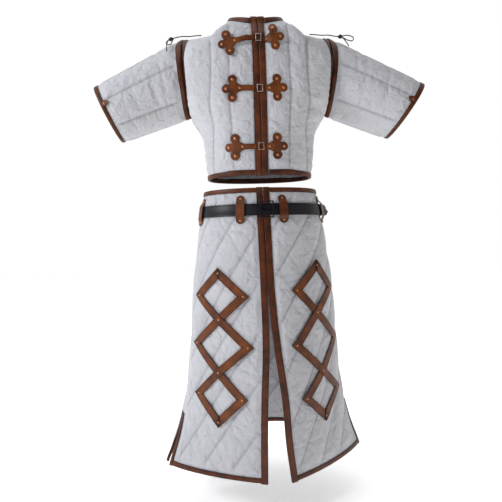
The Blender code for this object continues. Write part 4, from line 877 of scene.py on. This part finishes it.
skirtCreases = {
    ("front", -1): ((0.055, -0.905, 6, 0.055, 0.006, -0.0030), (0.060, -0.935, -4, 0.060, 0.006, -0.0028),
                    (0.045, -0.880, 14, 0.045, 0.005, -0.0022), (0.070, -0.735, 10, 0.060, 0.006, -0.0024),
                    (0.16, -0.73, -12, 0.070, 0.008, -0.0022), (0.050, -1.165, 20, 0.060, 0.006, -0.0030),
                    (0.060, -1.195, 14, 0.070, 0.006, -0.0030), (0.045, -1.225, 8, 0.055, 0.006, -0.0024),
                    (0.20, -1.02, 80, 0.090, 0.012, -0.0020), (0.07, -1.37, 10, 0.060, 0.007, -0.0020),
                    (0.10, -1.30, 30, 0.060, 0.008, -0.0020), (0.24, -1.36, 70, 0.090, 0.012, -0.0024)),
    ("front", 1): ((0.060, -0.872, 6, 0.070, 0.006, -0.0034), (0.070, -0.892, 2, 0.080, 0.006, -0.0036),
                   (0.055, -0.915, 8, 0.060, 0.005, -0.0028), (0.050, -0.850, 12, 0.045, 0.005, -0.0024),
                   (0.18, -0.72, -8, 0.070, 0.008, -0.0024), (0.050, -1.20, 24, 0.060, 0.007, -0.0028),
                   (0.050, -1.235, 14, 0.055, 0.006, -0.0026), (0.07, -1.06, 30, 0.050, 0.008, -0.0020),
                   (0.22, -1.05, 78, 0.100, 0.012, -0.0020), (0.20, -1.38, 70, 0.090, 0.012, -0.0024)),
    ("back", -1): ((0.12, -0.74, 12, 0.080, 0.008, -0.0024), (0.22, -0.78, 4, 0.070, 0.008, -0.0022),
                   (0.18, -1.05, 78, 0.120, 0.012, -0.0020), (0.10, -1.32, 70, 0.110, 0.012, -0.0020)),
    ("back", 1): ((0.10, -0.75, -8, 0.080, 0.008, -0.0024), (0.20, -0.73, 6, 0.070, 0.008, -0.0022),
                  (0.22, -1.10, 76, 0.120, 0.012, -0.0020), (0.14, -1.35, 72, 0.110, 0.012, -0.0020)),
}


def skirtHalf(half, sign):
    low, high = skirt["hemZ"] + skirt["band"], skirt["waistZ"] - skirt["band"]
    across = skirt["across"] if half == "front" else skirt["across"] - 4
    first = leatherTrim["frontStrip"] if half == "front" else 0.0
    bandCells = 5
    if half == "front":
        q = np.concatenate([np.linspace(0, 1, bandCells + 1), 1 + np.linspace(0, 1, across + 1)[1:],
                            2 + np.linspace(0, 1, bandCells + 1)[1:]])
    else:
        q = np.concatenate([1 + np.linspace(0, 1, across + 1), 2 + np.linspace(0, 1, bandCells + 1)[1:]])
    zs = np.unique(np.concatenate([np.linspace(skirt["hemZ"], skirt["waistZ"], skirt["along"] + 1),
                                   [low, high, skirt["slitTop"]]]))
    skin, arcs = [], []
    for z in zs:
        width = skirtWidth(z, half, sign)
        s = np.interp(q, (0, 1, 2, 3), (0, first, width - skirt["slitBand"], width))
        skin.append(skirtSkin(s, z, half, sign))
        arcs.append(s)
    skin, s = np.array(skin), np.array(arcs)
    z = zs[:, None]
    normals = gridNormals(skin, 1 if half == "front" else -1)
    onSeam = zs > skirt["slitTop"] - 0.02
    normals[onSeam, -1, 1] = 0
    if half == "back":
        normals[:, 0, 0] = 0
    normals = units(normals)
    width = s[:, -1:]
    k = skirt["rows"] * (z - low) / (high - low)
    across, rise = (s - first) / skirt["diamond"], k / (2 * skirt["perDiamond"])
    strong = np.abs(np.sin(math.pi * (across - sign * rise)))
    weak = np.abs(np.sin(math.pi * (across + sign * rise)))
    body = strong ** 0.55 * (1 - skirt["secondFamily"] + skirt["secondFamily"] * weak ** 0.6)
    flat = smooth(k / 1.2) * smooth((skirt["rows"] - k) / 1.2)
    flat = flat * smooth((width - skirt["slitBand"] - s) / 0.022)
    if half == "front":
        flat = flat * smooth((s - first) / 0.018)
    nearBelt = smooth((np.abs(z - belt["z"]) - 0.016) / 0.03)
    pressed = 0.42 + 0.58 * nearBelt
    folds = creaseField(s, z, skirtCreases[half, sign]) * flat
    pucker = 0.0010 * ripples(s * sign, z * 0.7 + s * 0.7, 0.019, 0.4) * np.exp(-strong / 0.30)
    puff = cloth["skirtPad"] * body * flat * pressed + folds + pucker * flat * pressed
    relief = cloth["edge"] + np.clip(puff, 0, cloth["skirtPad"] * pressed + 0.0008)
    # mask of painted shade along the quilting lines, fainter on the second family where the light falls along
    # them
    sewn = np.maximum(np.exp(-(strong / 0.10) ** 2), 0.35 * np.exp(-(weak / 0.08) ** 2)) * flat
    pattern = np.stack(np.broadcast_arrays(s * sign, z + 0 * s), axis=-1)
    outer = turned(skin + normals * relief[..., None], z, sign)
    return {"skin": turned(skin, z, sign), "normals": turned(normals, z, sign), "outer": outer,
            "pattern": pattern, "sewn": sewn, "zs": zs, "q": q}


skirtGrids = {}
for sideName, sign in sides:
    for half in ("front", "back"):
        skirtGrids[half, sign] = skirtHalf(half, sign)
    piece = layPanel(f"quiltedSkirtFront_{sideName}", f"skirt_front_{sideName}", skirtGrids["front", sign])
piece = layPanel("quiltedSkirtBack", "skirt_back", wholeBack(skirtGrids))

waistParts, hemParts = [], []
for sideName, sign in sides:
    grid, back = skirtGrids["front", sign], skirtGrids["back", sign]
    zs, q = grid["zs"], grid["q"]
    hemRow = nearest(zs, skirt["hemZ"] + skirt["band"])
    waistRow = nearest(zs, skirt["waistZ"] - skirt["band"])
    slitRow = nearest(zs, skirt["slitTop"]) - 1
    strip = nearest(q, 1)
    band = len(q) - 1 - nearest(q, 2)
    bindEdge(f"skirtStrip_{sideName}", f"skirt_strip_{sideName}", *columnEdge(grid, 0, strip, every),
             over=0.0004, ends=(-0.003, -0.003), lift=0.0003)
    bindEdge(f"skirtHemBinding_{sideName}", f"skirt_hem_binding_{sideName}",
             *rowEdge(grid, 0, hemRow, slice(strip, len(q) - band)), ends=(0.0008, 0.0008), lift=0.0002)
    for label, panel in (("front", grid), ("back", back)):
        bindEdge(f"slitBinding_{label}_{sideName}", f"slit_binding_{label}_{sideName}",
                 *columnEdge(panel, -1, -1 - band, slice(0, slitRow + 1)), ends=(-0.003, 0.002), lift=0.0003)
    front = rowEdge(grid, -1, waistRow, slice(strip, None))
    behind = reversedEdge(rowEdge(back, -1, waistRow, every))
    waistParts.append(chained(front, behind))
    hemParts.append(rowEdge(back, 0, hemRow, slice(0, back["skin"].shape[1] - band)))
bindEdge("waistBinding", "waistband", *chained(waistParts[0], reversedEdge(waistParts[1])),
         ends=(0.0008, 0.0008), lift=0.0003)
bindEdge("skirtHemBinding_back", "skirt_hem_binding_back", *chained(reversedEdge(hemParts[0]), hemParts[1]),
         ends=(0.0008, 0.0008), lift=0.0002)
print("skirt made")


# straps: flat leather cut to an outline, laid on the cloth and riveted

rivets = []                                    # (place, outward, radius) of every copper rivet
burnished = 0.0028                             # how far the dark edge of a strap reaches in
trimTop = cloth["edge"] + leatherTrim["clear"] + leatherTrim["thick"]


def layStrap(name, node, alongs, halfWidths, place, thick, lanes):
    # a strip whose half width changes along it; place(along, across) gives its underside's points and normals
    lanesAt = np.concatenate([[-1.0], np.linspace(-0.93, 0.93, lanes - 1), [1.0]])
    a = np.repeat(np.asarray(alongs)[:, None], len(lanesAt), axis=1)
    b = np.asarray(halfWidths)[:, None] * lanesAt[None, :]
    points, normals = place(a, b)
    inner = np.maximum(np.abs(np.asarray(halfWidths))[:, None] - burnished, 0)
    edgeDark = np.clip((np.abs(b) - inner) / burnished, 0, 1)
    edgeDark[:2] = edgeDark[-2:] = 0.8
    pattern = np.stack([a, b], axis=-1)
    piece = layGrid(name, points + normals * thick, normals, pattern, "strap",
                    edgeDark ** 2, "rim")
    stiffen(piece, thick)
    softenRim(piece)
    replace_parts(piece, node)


# each side: distance of the trefoil from the middle, its rise, its lean in degrees
clasps = (
    {"z": -0.118, "step": 0.0056, "ringLift": 0.0019, "right": (0.096, -0.022, 14),
     "left": (0.046, -0.006, -6)},
    {"z": -0.283, "step": 0.0012, "ringLift": 0.0004, "right": (0.084, 0, 0), "left": (0.050, 0, 0)},
    {"z": -0.464, "step": 0.0012, "ringLift": 0.0010, "right": (0.078, 0, 0), "left": (0.046, 0, 0)},
)
trefoil = {"lobes": ((-0.001, 0.0268, 0.0148), (-0.0212, 0.0, 0.0134), (0.0225, 0.0, 0.0108),
                     (-0.001, 0.0, 0.0175)),
           "spots": ((-0.001, 0.0275, 1), (-0.001, -0.0275, 1), (-0.0220, 0.0, 1), (0.0225, 0.0, 0.85)),
           "seat": 0.00045, "rise": 0.0060, "ring": (0.0095, 0.0120), "ringBar": 0.0032, "ringThick": 0.0030,
           "taper": ((0.0, 0.0250), (0.0270, 0.0080)), "half": 0.0085, "thick": 0.0024, "end": 0.0125,
           "rivet": 0.0042, "spacing": 0.0017, "shares": (0, 0.2, 0.4, 0.55, 0.7, 0.8, 0.88, 0.95, 1.0)}


def trefoilOutline(reach):
    # the clasp's outline: for each direction from its middle, the farthest of its lobes, neck and strap
    corner = math.atan2(trefoil["half"], reach)
    angles = np.unique(np.concatenate([np.linspace(0, math.pi, 721), corner * np.linspace(0, 3, 60)]))
    ways = np.stack([np.cos(angles), np.sin(angles)], axis=1)
    far = np.zeros(len(angles))
    for a, b, radius in trefoil["lobes"]:
        towards = ways @ np.array((a, b))
        inside = radius ** 2 - a * a - b * b + towards ** 2
        far = np.maximum(far, np.where(inside > 0, towards + np.sqrt(np.maximum(inside, 0)), 0))
    (a0, b0), (a1, b1) = trefoil["taper"]
    slope = (b0 - b1) / (a1 - a0)
    far = np.maximum(far, np.where(ways[:, 0] > 0, b0 / (ways[:, 1] + slope * ways[:, 0] + 1e-9), 0)
                     * (np.arctan2(ways[:, 1], ways[:, 0]) > math.atan2(b1, a1)))
    strap = np.minimum(reach / np.maximum(ways[:, 0], 1e-6), trefoil["half"] / np.maximum(ways[:, 1], 1e-6))
    far = np.maximum(far, np.where(ways[:, 0] > 0, strap, 0))
    upper = ways * far[:, None]
    outline = np.concatenate([upper, upper[-2::-1] * np.array((1, -1))])
    run = np.concatenate([[0], np.cumsum(np.linalg.norm(np.diff(outline, axis=0), axis=1))])
    at = np.linspace(0, run[-1], round(run[-1] / trefoil["spacing"]) + 1)
    return np.stack([np.interp(at, run, outline[:, k]) for k in (0, 1)], axis=1)


def makeClasp(index, clasp):
    high = cloth["edge"] + trefoil["rise"] + clasp["step"]
    low = trimTop + trefoil["seat"]
    for sideName, sign in sides:
        centre, rise, lean = clasp[sideName]
        tilt = math.radians(lean)

        def place(a, b):
            s = centre - a * math.cos(tilt) + b * math.sin(tilt)
            z = clasp["z"] + rise + a * math.sin(tilt) + b * math.cos(tilt)
            point, normal = jacketAt(s, z)
            near = smooth((s - leatherTrim["frontStrip"]) / 0.022)
            lift = low + (high - low) * near
            return mirrored(point + normal * lift[..., None], sign), mirrored(normal, sign)

        outline = trefoilOutline((centre - trefoil["end"]) / math.cos(tilt))
        flat = outline[:, None, :] * np.array(trefoil["shares"])[None, :, None]
        points, normals = place(flat[..., 0], flat[..., 1])
        gaps = np.linalg.norm(flat[:, :, None, :] - outline[None, None, ::2, :], axis=3).min(axis=2)
        edgeDark = np.clip(1 - gaps / 0.0030, 0, 1) ** 1.5
        piece = layGrid(f"claspStrap_{index}_{sideName}", points + normals * trefoil["thick"], normals, flat,
                        "strap", edgeDark, "rim", joined=True)
        stiffen(piece, trefoil["thick"])
        softenRim(piece)
        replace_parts(piece, f"clasp_{index}_{sideName}")
        for a, b, radius in trefoil["spots"]:
            point, normal = place(np.array((a,)), np.array((b,)))
            rivets.append((point[0] + normal[0] * trefoil["thick"], normal[0], trefoil["rivet"] * radius))


for index, clasp in enumerate(clasps, 1):
    makeClasp(index, clasp)
print("clasps made")

lozenge = {"strap": 0.0255, "thick": 0.0020, "lift": 0.0018, "cell": 0.008, "rivet": 0.0030,
           "climb": 0.00204, "flatEnd": 0.013, "slope": 0.014,
           "right": {"joints": (-0.864, -1.007, -1.171, -1.322), "centres": (0.149, 0.153, 0.157, 0.153),
                     "halves": (0.080, 0.094, 0.080)},
           "left": {"joints": (-0.848, -0.996, -1.183, -1.327), "centres": (0.165, 0.156, 0.161, 0.157),
                    "halves": (0.074, 0.091, 0.080)}}


def makeLozenges(sideName, sign):
    lift = cloth["edge"] + cloth["skirtPad"] + lozenge["lift"]
    joints, centres, widths = (lozenge[sideName][key] for key in ("joints", "centres", "halves"))
    for strand, way in (("under", -1), ("over", 1)):
        corners = [(centres[0], joints[0])]
        for i, half in enumerate(widths):
            turn = way if i % 2 == 0 else -way
            middle = ((centres[i] + centres[i + 1]) / 2 + turn * half, (joints[i] + joints[i + 1]) / 2)
            corners += [middle, (centres[i + 1], joints[i + 1])]
        corners = np.array(corners)
        ways = units(np.diff(corners, axis=0))
        sidesOut = np.stack([-ways[:, 1], ways[:, 0]], axis=1)
        # each leg runs between the mitres of its corners
        mitres = [np.array((0, 1 / sidesOut[0][1]))]
        for a, b in zip(sidesOut, sidesOut[1:]):
            bisector = units(a + b)
            mitres.append(bisector / max(float(np.dot(bisector, a)), 0.35))
        mitres.append(np.array((0, 1 / sidesOut[-1][1])))
        stops, crossway = [], []
        for k in range(len(corners) - 1):
            length = np.linalg.norm(corners[k + 1] - corners[k])
            count = max(4, round(length / lozenge["cell"]))
            for n in range(count + (k == len(corners) - 2)):
                t = n / count
                stops.append(corners[k] * (1 - t) + corners[k + 1] * t)
                ends = mitres[k] if t < 0.5 else mitres[k + 1]
                near = smooth(1 - min(t, 1 - t) * count / 1.01)
                crossway.append(sidesOut[k] * (1 - near) + ends * near)
        stops, crossway = np.array(stops), np.array(crossway)
        # the upper strap climbs over the lower one at each crossing
        meets = np.stack([centres, joints], axis=1)
        crossing = np.min(np.linalg.norm(stops[:, None] - meets[None], axis=2), axis=1)
        climb = lozenge["climb"] if strand == "over" else 0.0
        over = climb * smooth(1 - (crossing - lozenge["flatEnd"]) / lozenge["slope"])
        alongs = np.arange(len(stops), dtype=float)

        def place(a, b):
            row = np.rint(a).astype(int)
            at = stops[row] + crossway[row] * b[..., None]
            point, normal = skirtAt(at[..., 0], at[..., 1], "front", sign)
            return point + normal * (lift + over[row])[..., None], normal

        layStrap(f"lozengeStrap_{strand}_{sideName}", f"lozenge_chain_{sideName}", alongs,
                 np.full(len(stops), lozenge["strap"] / 2), place, lozenge["thick"], lanes=6)
    for i, half in enumerate(widths):
        middle = (joints[i] + joints[i + 1]) / 2
        centre = (centres[i] + centres[i + 1]) / 2
        spots = [(centre - half, middle, 1), (centre + half, middle, 1), (centres[i + 1], joints[i + 1], 2)]
        if i == 0:
            spots.append((centres[0], joints[0], 2))
        for s, z, layers in spots:
            point, normal = skirtAt(np.array((s,)), np.array((z,)), "front", sign)
            head = point[0] + normal[0] * (lift + lozenge["thick"] * layers)
            rivets.append((head, normal[0], lozenge["rivet"]))


for sideName, sign in sides:
    makeLozenges(sideName, sign)
print("lozenge straps made")

loops = {"width": 0.027, "top": -0.619, "bottom": -0.709, "clear": 0.0032, "topLift": 0.0079, "thick": 0.002,
         "rivet": 0.0034, "rivetIn": 0.010, "seat": 0.0070, "flatEnd": 0.011, "round": 0.0125,
         "places": (("front_right", 0.071, "right"), ("front_left", 0.060, "left"),
                    ("side_right", 0.225, "right"), ("side_left", 0.225, "left"),
                    ("back_right", 0.400, "right"), ("back_left", 0.400, "left"))}


def makeLoop(name, arc, sideName):
    arc = arc if sideName == "left" else waistTotal - arc
    twice = sideName == "left" and arc < belt["tongueStations"] * waistTotal / belt["stations"] + 0.02
    low = cloth["edge"] + loops["seat"]
    high = belt["lift"] + (2 if twice else 1) * (belt["thick"] + belt["gap"]) + loops["clear"]
    over = belt["high"] / 2 + 0.002
    heights = (loops["bottom"], loops["bottom"] + loops["flatEnd"], belt["z"] - over, belt["z"],
               belt["z"] + over, loops["top"] - loops["flatEnd"], loops["top"])
    lifts = (low, low, high, high, high, loops["topLift"], loops["topLift"])
    zs = np.linspace(loops["bottom"], loops["top"], 31)
    ends = np.minimum(zs - loops["bottom"], loops["top"] - zs)
    half = loops["width"] / 2 * np.sqrt(np.clip(1 - np.clip(1 - ends / loops["round"], 0, 1) ** 2, 0.08, 1))

    def place(a, b):
        lift = np.interp(a, heights, lifts)
        points, normals = np.empty(a.shape + (3,)), np.empty(a.shape + (3,))
        for at in np.ndindex(a.shape):
            base = waistAt(arc + b[at], float(a[at]), 0.0)
            out = units(waistAt(arc + b[at], float(a[at]), 0.01) - base)
            points[at] = base + out * lift[at]
            normals[at] = out
        return points, normals

    layStrap(f"beltLoop_{name}", f"belt_loop_{name}", zs, half, place, loops["thick"], lanes=8)
    for z in (loops["top"] - loops["rivetIn"], loops["bottom"] + loops["rivetIn"]):
        point, normal = place(np.array(((z,),)), np.array(((0.0,),)))
        rivets.append((point[0, 0] + normal[0, 0] * loops["thick"], normal[0, 0], loops["rivet"]))


for name, arc, sideName in loops["places"]:
    makeLoop(name, arc, sideName)

# each stop: distance from the cuff, half width, lift
tabs = {"stops": ((0.002, 0.008, 0.0), (0.012, 0.0085, 0.0006), (0.018, 0.0075, 0.0030),
                  (0.024, 0.0045, 0.0040), (0.027, 0.0018, 0.0042)), "seat": 0.0003, "rivet": 0.0028}
for cuff in cuffs:
    base = trimTop + tabs["seat"]
    stops = np.array(tabs["stops"])

    def place(a, b, cuff=cuff):
        t, w = sleeve["tabT"] + b / sleeve["round"], 1 - a / sleeve["length"]
        step = 0.01
        point = sleeveSkin(t, w, cuff)
        around = sleeveSkin(t + step, w, cuff) - sleeveSkin(t - step, w, cuff)
        along = sleeveSkin(t, np.minimum(w + step, 1), cuff) - sleeveSkin(t, w - step, cuff)
        normal = units(np.cross(along, around))
        lift = base + np.interp(a, stops[:, 0], stops[:, 2])
        return mirrored(point + normal * lift[..., None], cuff["sign"]), mirrored(normal, cuff["sign"])

    alongs = np.linspace(stops[0, 0], stops[-1, 0], 14)
    layStrap(f"cuffTab_{cuff['side']}", f"cuff_tab_{cuff['side']}", alongs,
             np.interp(alongs, stops[:, 0], stops[:, 1]), place, leatherTrim["thick"], lanes=6)
    point, normal = place(np.array((0.012,)), np.array((0.0,)))
    rivets.append((point[0] + normal[0] * leatherTrim["thick"], normal[0], tabs["rivet"]))
print("loops and tabs made")


# the belt, its buckle and the clasp rings

def makeBelt():
    step = waistTotal / belt["stations"]
    single, double = belt["lift"], belt["lift"] + belt["thick"] + belt["gap"]
    count = (belt["stations"] + belt["tongueStations"] - 1) * 4
    ks = 1 + np.arange(count + 1) / 4
    lanes = np.array((-1, -0.96, -0.82, -0.74, -0.66, 0, 0.66, 0.74, 0.82, 0.96, 1))
    groove = np.array((-0.0005, 0, 0, -0.0004, 0, 0, 0, -0.0004, 0, 0, -0.0005))
    # how dark the leather is painted across the belt: its burnished edges, and painted shade in the two
    # creased grooves
    dark = np.array((1, 0.5, 0, 0.7, 0, 0, 0, 0.7, 0, 0.5, 1))
    points, normals = [], []
    for k in ks:
        over = smooth((k - belt["stations"] + 3) / 3)
        lift = single + (double - single) * over + belt["thick"]
        row, ups = [], []
        for lane, dip in zip(lanes, groove):
            z = belt["z"] + lane * belt["high"] / 2
            base = waistAt(k * step, z, 0.0)
            out = units(waistAt(k * step, z, 0.01) - base)
            row.append(base + out * (lift + dip))
            ups.append(out)
        points.append(row)
        normals.append(ups)
    points, normals = np.array(points), np.array(normals)
    # the free end stands off the waist a little and has a rounded tip
    flat = np.array((1, 1, 0))
    last, way = points[-1].copy(), units(np.mean((points[-1] - points[-3]) * flat, axis=0))
    outward = units(np.mean(normals[-1] * flat, axis=0))
    tongue = np.linspace(0, belt["tip"], 13)[1:]
    extra, share = [], np.interp(tongue, *np.array(belt["tipShape"]).T)
    for ahead, part in zip(tongue, share):
        away = belt["tipAway"] * (ahead / belt["tip"]) ** 1.6
        row = last + way * ahead + outward * away
        row[:, 2] = belt["z"] + (last[:, 2] - belt["z"]) * part
        extra.append(row)
    points = np.concatenate([points, extra])
    normals = np.concatenate([normals, np.repeat(normals[-1:], len(extra), axis=0)])
    run = np.concatenate([[0], np.cumsum(np.linalg.norm(np.diff(points[:, 5], axis=0), axis=1))])
    pattern = np.stack(np.meshgrid(run, lanes * belt["high"] / 2, indexing="ij"), axis=-1)
    marks = np.repeat(dark[None, :], len(points), axis=0)
    piece = layGrid("waistBelt", points, normals, pattern, "belt", marks, "rim")
    stiffen(piece, belt["thick"] - 0.0002)
    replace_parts(piece, "belt")


def makeFrame(name, node, centre, across, out, outer, bar, thick, finish, prong=None):
    # a rectangular metal frame with rounded corners, from a cut plate, with an optional prong
    wide, high = outer
    bm = bmesh.new()
    bmesh.ops.create_grid(bm, x_segments=1, y_segments=1, size=0.5)
    for vert in bm.verts:
        vert.co = (vert.co.x * 2 * wide, 0, vert.co.y * 2 * high)
    bm.normal_update()
    bmesh.ops.inset_region(bm, faces=bm.faces[:], thickness=bar, depth=0, use_boundary=True)
    hole = [face for face in bm.faces if not any(edge.is_boundary for edge in face.edges)]
    bmesh.ops.delete(bm, geom=hole, context="FACES")
    if prong:
        made = bmesh.ops.create_grid(bm, x_segments=6, y_segments=1, size=0.5)["verts"]
        for vert in made:
            x = vert.co.x
            vert.co = (x * 2 * (wide - bar * 0.2), -0.0006 * math.cos(x * math.pi), vert.co.y * 2 * prong)
    bmesh.ops.solidify(bm, geom=bm.faces[:], thickness=thick)
    bmesh.ops.recalc_face_normals(bm, faces=bm.faces[:])
    corners = [edge for edge in bm.edges if edge.is_manifold and edge.calc_face_angle(0) > 0.8]
    bmesh.ops.bevel(bm, geom=corners, offset=min(bar, thick) * 0.30, affect="EDGES", segments=3, profile=0.5,
                    material=-1)
    low = min(vert.co.y for vert in bm.verts)
    for vert in bm.verts:
        a, h, b = vert.co.x, vert.co.y, vert.co.z
        vert.co = Vector(centre + across * a + np.array((0, 0, b)) + out * (h - low))
    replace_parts(finishPiece(name, bm, finish), node)


makeBelt()
buckle = {"size": (0.022, 0.0265), "bar": 0.0055, "thick": 0.0040, "prong": 0.0022, "clear": 0.0026}
buckleBase = waistAt(belt["buckleArc"], belt["z"], 0.0)
buckleOut = units((waistAt(belt["buckleArc"], belt["z"], 0.01) - buckleBase) * np.array((1, 1, 0)))
buckleLift = belt["lift"] + 2 * belt["thick"] + belt["gap"] + buckle["clear"]
makeFrame("beltBuckle", "belt_buckle", buckleBase + buckleOut * buckleLift, np.cross((0, 0, 1), -buckleOut),
          buckleOut, buckle["size"], buckle["bar"], buckle["thick"], "darkIron", prong=buckle["prong"])
for index, clasp in enumerate(clasps, 1):
    base = jacketAt(np.array((0.0,)), np.array((clasp["z"],)))[0][0] * np.array((0, 1, 1))
    out = np.array((0.0, -1.0, 0.0))
    makeFrame(f"claspRing_{index}", f"clasp_{index}_ring",
              base + out * (trimTop + trefoil["seat"] + clasp["ringLift"]), np.array((1.0, 0, 0)), out,
              trefoil["ring"], trefoil["ringBar"], trefoil["ringThick"], "iron")
print("belt and metal made")


# the laces

laceShared = ((0.186, -0.010, -0.0568), (0.205, -0.012, -0.0586), (0.228, -0.012, -0.0608),
              (0.250, -0.012, -0.0605), (0.272, -0.014, -0.065))
laceRoutes = {
    "right": (
        *laceShared, (0.288, -0.020, -0.073), (0.300, -0.030, -0.083), (0.302, -0.040, -0.096),
        (0.292, -0.046, -0.102), (0.283, -0.044, -0.094), (0.286, -0.036, -0.081), (0.294, -0.040, -0.083),
        (0.299, -0.056, -0.104), (0.298, -0.068, -0.132),
    ),
    "left": (
        *laceShared, (0.292, -0.014, -0.067), (0.314, -0.018, -0.064), (0.334, -0.024, -0.073),
        (0.330, -0.030, -0.088), (0.312, -0.032, -0.086), (0.298, -0.032, -0.078), (0.294, -0.040, -0.081),
        (0.300, -0.054, -0.098), (0.308, -0.066, -0.120),
    ),
}


def makeKnot(sideName, place):
    # the wrapped knot that gathers the lace above the sleeve
    bm = bmesh.new()
    bmesh.ops.create_uvsphere(bm, u_segments=32, v_segments=20, radius=1.0)
    for vert in bm.verts:
        around = math.atan2(vert.co.y, vert.co.x)
        wraps = 1 + 0.10 * math.sin(5 * math.asin(max(-1.0, min(1.0, vert.co.z))) + 2 * around)
        wide, deep, high = lace["knot"]
        vert.co = Vector((vert.co.x * wide, vert.co.y * deep, vert.co.z * high)) * wraps + Vector(place)
    return finishPiece(f"laceKnot_{sideName}", bm, "lace").name


def laceLine(route):
    # points at even spacing on a smooth curve through the route
    points = [np.array(p) for p in route]
    ends = [2 * points[0] - points[1], *points, 2 * points[-1] - points[-2]]
    dense = []
    for a, b, c, d in zip(ends, ends[1:], ends[2:], ends[3:]):
        for t in np.linspace(0, 1, 24, endpoint=False):
            dense.append(0.5 * (2 * b + (c - a) * t + (2 * a - 5 * b + 4 * c - d) * t * t
                                + (3 * b - a - 3 * c + d) * t ** 3))
    dense.append(points[-1])
    dense = np.array(dense)
    run = np.concatenate([[0], np.cumsum(np.linalg.norm(np.diff(dense, axis=0), axis=1))])
    at = np.linspace(0, run[-1], round(run[-1] / lace["spacing"]) + 1)
    return np.stack([np.interp(at, run, dense[:, k]) for k in range(3)], axis=1)


for sideName, sign in sides:
    line = laceLine([tuple(mirrored(np.array(p), sign)) for p in laceRoutes[sideName]])
    curve = bpy.data.curves.new(f"shoulderLace_{sideName}", "CURVE")
    curve.dimensions = "3D"
    curve.bevel_depth = lace["diameter"] / 2
    curve.bevel_resolution = 3
    curve.use_fill_caps = True
    spline = curve.splines.new("POLY")
    spline.points.add(len(line) - 1)
    for at, p in zip(spline.points, line):
        at.co = (*p, 1)
    obj = bpy.data.objects.new(f"shoulderLace_{sideName}", curve)
    curve.materials.append(finishes["lace"])
    bpy.context.collection.objects.link(obj)
    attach(obj, "root")
    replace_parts(obj, f"shoulder_lace_{sideName}")
    knot = makeKnot(sideName, mirrored(np.array(laceRoutes[sideName][lace["knotAt"]]), sign))
print("laces made")


# rivets: domed copper heads, one joined mesh for all of them

def makeRivets():
    bm = bmesh.new()
    for place, outward, radius in rivets:
        made = bmesh.ops.create_uvsphere(bm, u_segments=14, v_segments=10, radius=radius)["verts"]
        turn = Vector((0, 0, 1)).rotation_difference(Vector(outward))
        for vert in made:
            vert.co.z *= 0.10 if vert.co.z < 0 else 0.50
            vert.co = turn @ vert.co + Vector(place)
    finishPiece("copperRivets", bm, "copper")


makeRivets()
print(len(rivets), "rivets made")


# studio: pale floor, soft light from the viewer's left

studio = {"floorZ": -1.62, "glow": 0.42, "floor": "#FFFFFF", "behind": "#FFFFFF", "ahead": "#46474C",
          "lamps": (("keyLight", (-2.9, -1.5, 1.0), 1.0, 74, "#F6F8FF"),
                    ("fillLight", (2.4, -2.4, 0.0), 2.2, 4, "#FFEFE2"),
                    ("topLight", (-0.5, -0.5, 2.4), 1.6, 14, "#FFFFFF"),
                    ("backLight", (0.6, 2.6, 0.9), 2.4, 20, "#FFFFFF"))}


def makeStudio():
    bm = bmesh.new()
    bmesh.ops.create_grid(bm, x_segments=1, y_segments=1, size=12)
    bmesh.ops.translate(bm, verts=bm.verts[:], vec=(0, 0, studio["floorZ"]))
    mesh = bpy.data.meshes.new("studioFloor")
    bm.to_mesh(mesh)
    bm.free()
    floor = bpy.data.objects.new("studioFloor", mesh)
    bpy.context.collection.objects.link(floor)
    material, tree, shader = newMaterial("matPaperFloor")
    shader.inputs["Base Color"].default_value = hexColour(studio["floor"])
    shader.inputs["Roughness"].default_value = 0.9
    shader.inputs["Emission Color"].default_value = hexColour(studio["floor"])
    shader.inputs["Emission Strength"].default_value = studio["glow"]
    mesh.materials.append(material)
    world = bpy.data.worlds.new("paleStudio")
    world.use_nodes = True
    tree = world.node_tree
    direction = addNode(tree, "ShaderNodeTexCoord").outputs["Generated"]
    depth = addNode(tree, "ShaderNodeSeparateXYZ", None, {0: direction}).outputs["Y"]
    share = addNode(tree, "ShaderNodeMapRange", {"From Min": -0.6, "From Max": 0.5}, {"Value": depth})
    sky = addNode(tree, "ShaderNodeMix", {"data_type": "RGBA"}, {0: share.outputs[0]})
    sky.inputs[6].default_value = hexColour(studio["ahead"])
    sky.inputs[7].default_value = hexColour(studio["behind"])
    # the light comes mostly from behind, and the backdrop is as pale from every side
    seen = addNode(tree, "ShaderNodeLightPath").outputs["Is Camera Ray"]
    shown = addNode(tree, "ShaderNodeMix", {"data_type": "RGBA"}, {0: seen, 6: sky.outputs[2]})
    shown.inputs[7].default_value = hexColour(studio["behind"])
    tree.links.new(shown.outputs[2], tree.nodes["Background"].inputs["Color"])
    bpy.context.scene.world = world
    for name, place, size, power, colour in studio["lamps"]:
        data = bpy.data.lights.new(name, "AREA")
        data.size = size
        data.energy = power
        data.color = hexColour(colour)[:3]
        lamp = bpy.data.objects.new(name, data)
        lamp.location = place
        aim = Vector((0, 0, -0.7)) - Vector(place)
        lamp.rotation_euler = aim.to_track_quat("-Z", "Y").to_euler()
        bpy.context.collection.objects.link(lamp)
    bpy.context.scene.view_settings.view_transform = "Standard"


makeStudio()
print("studio made")
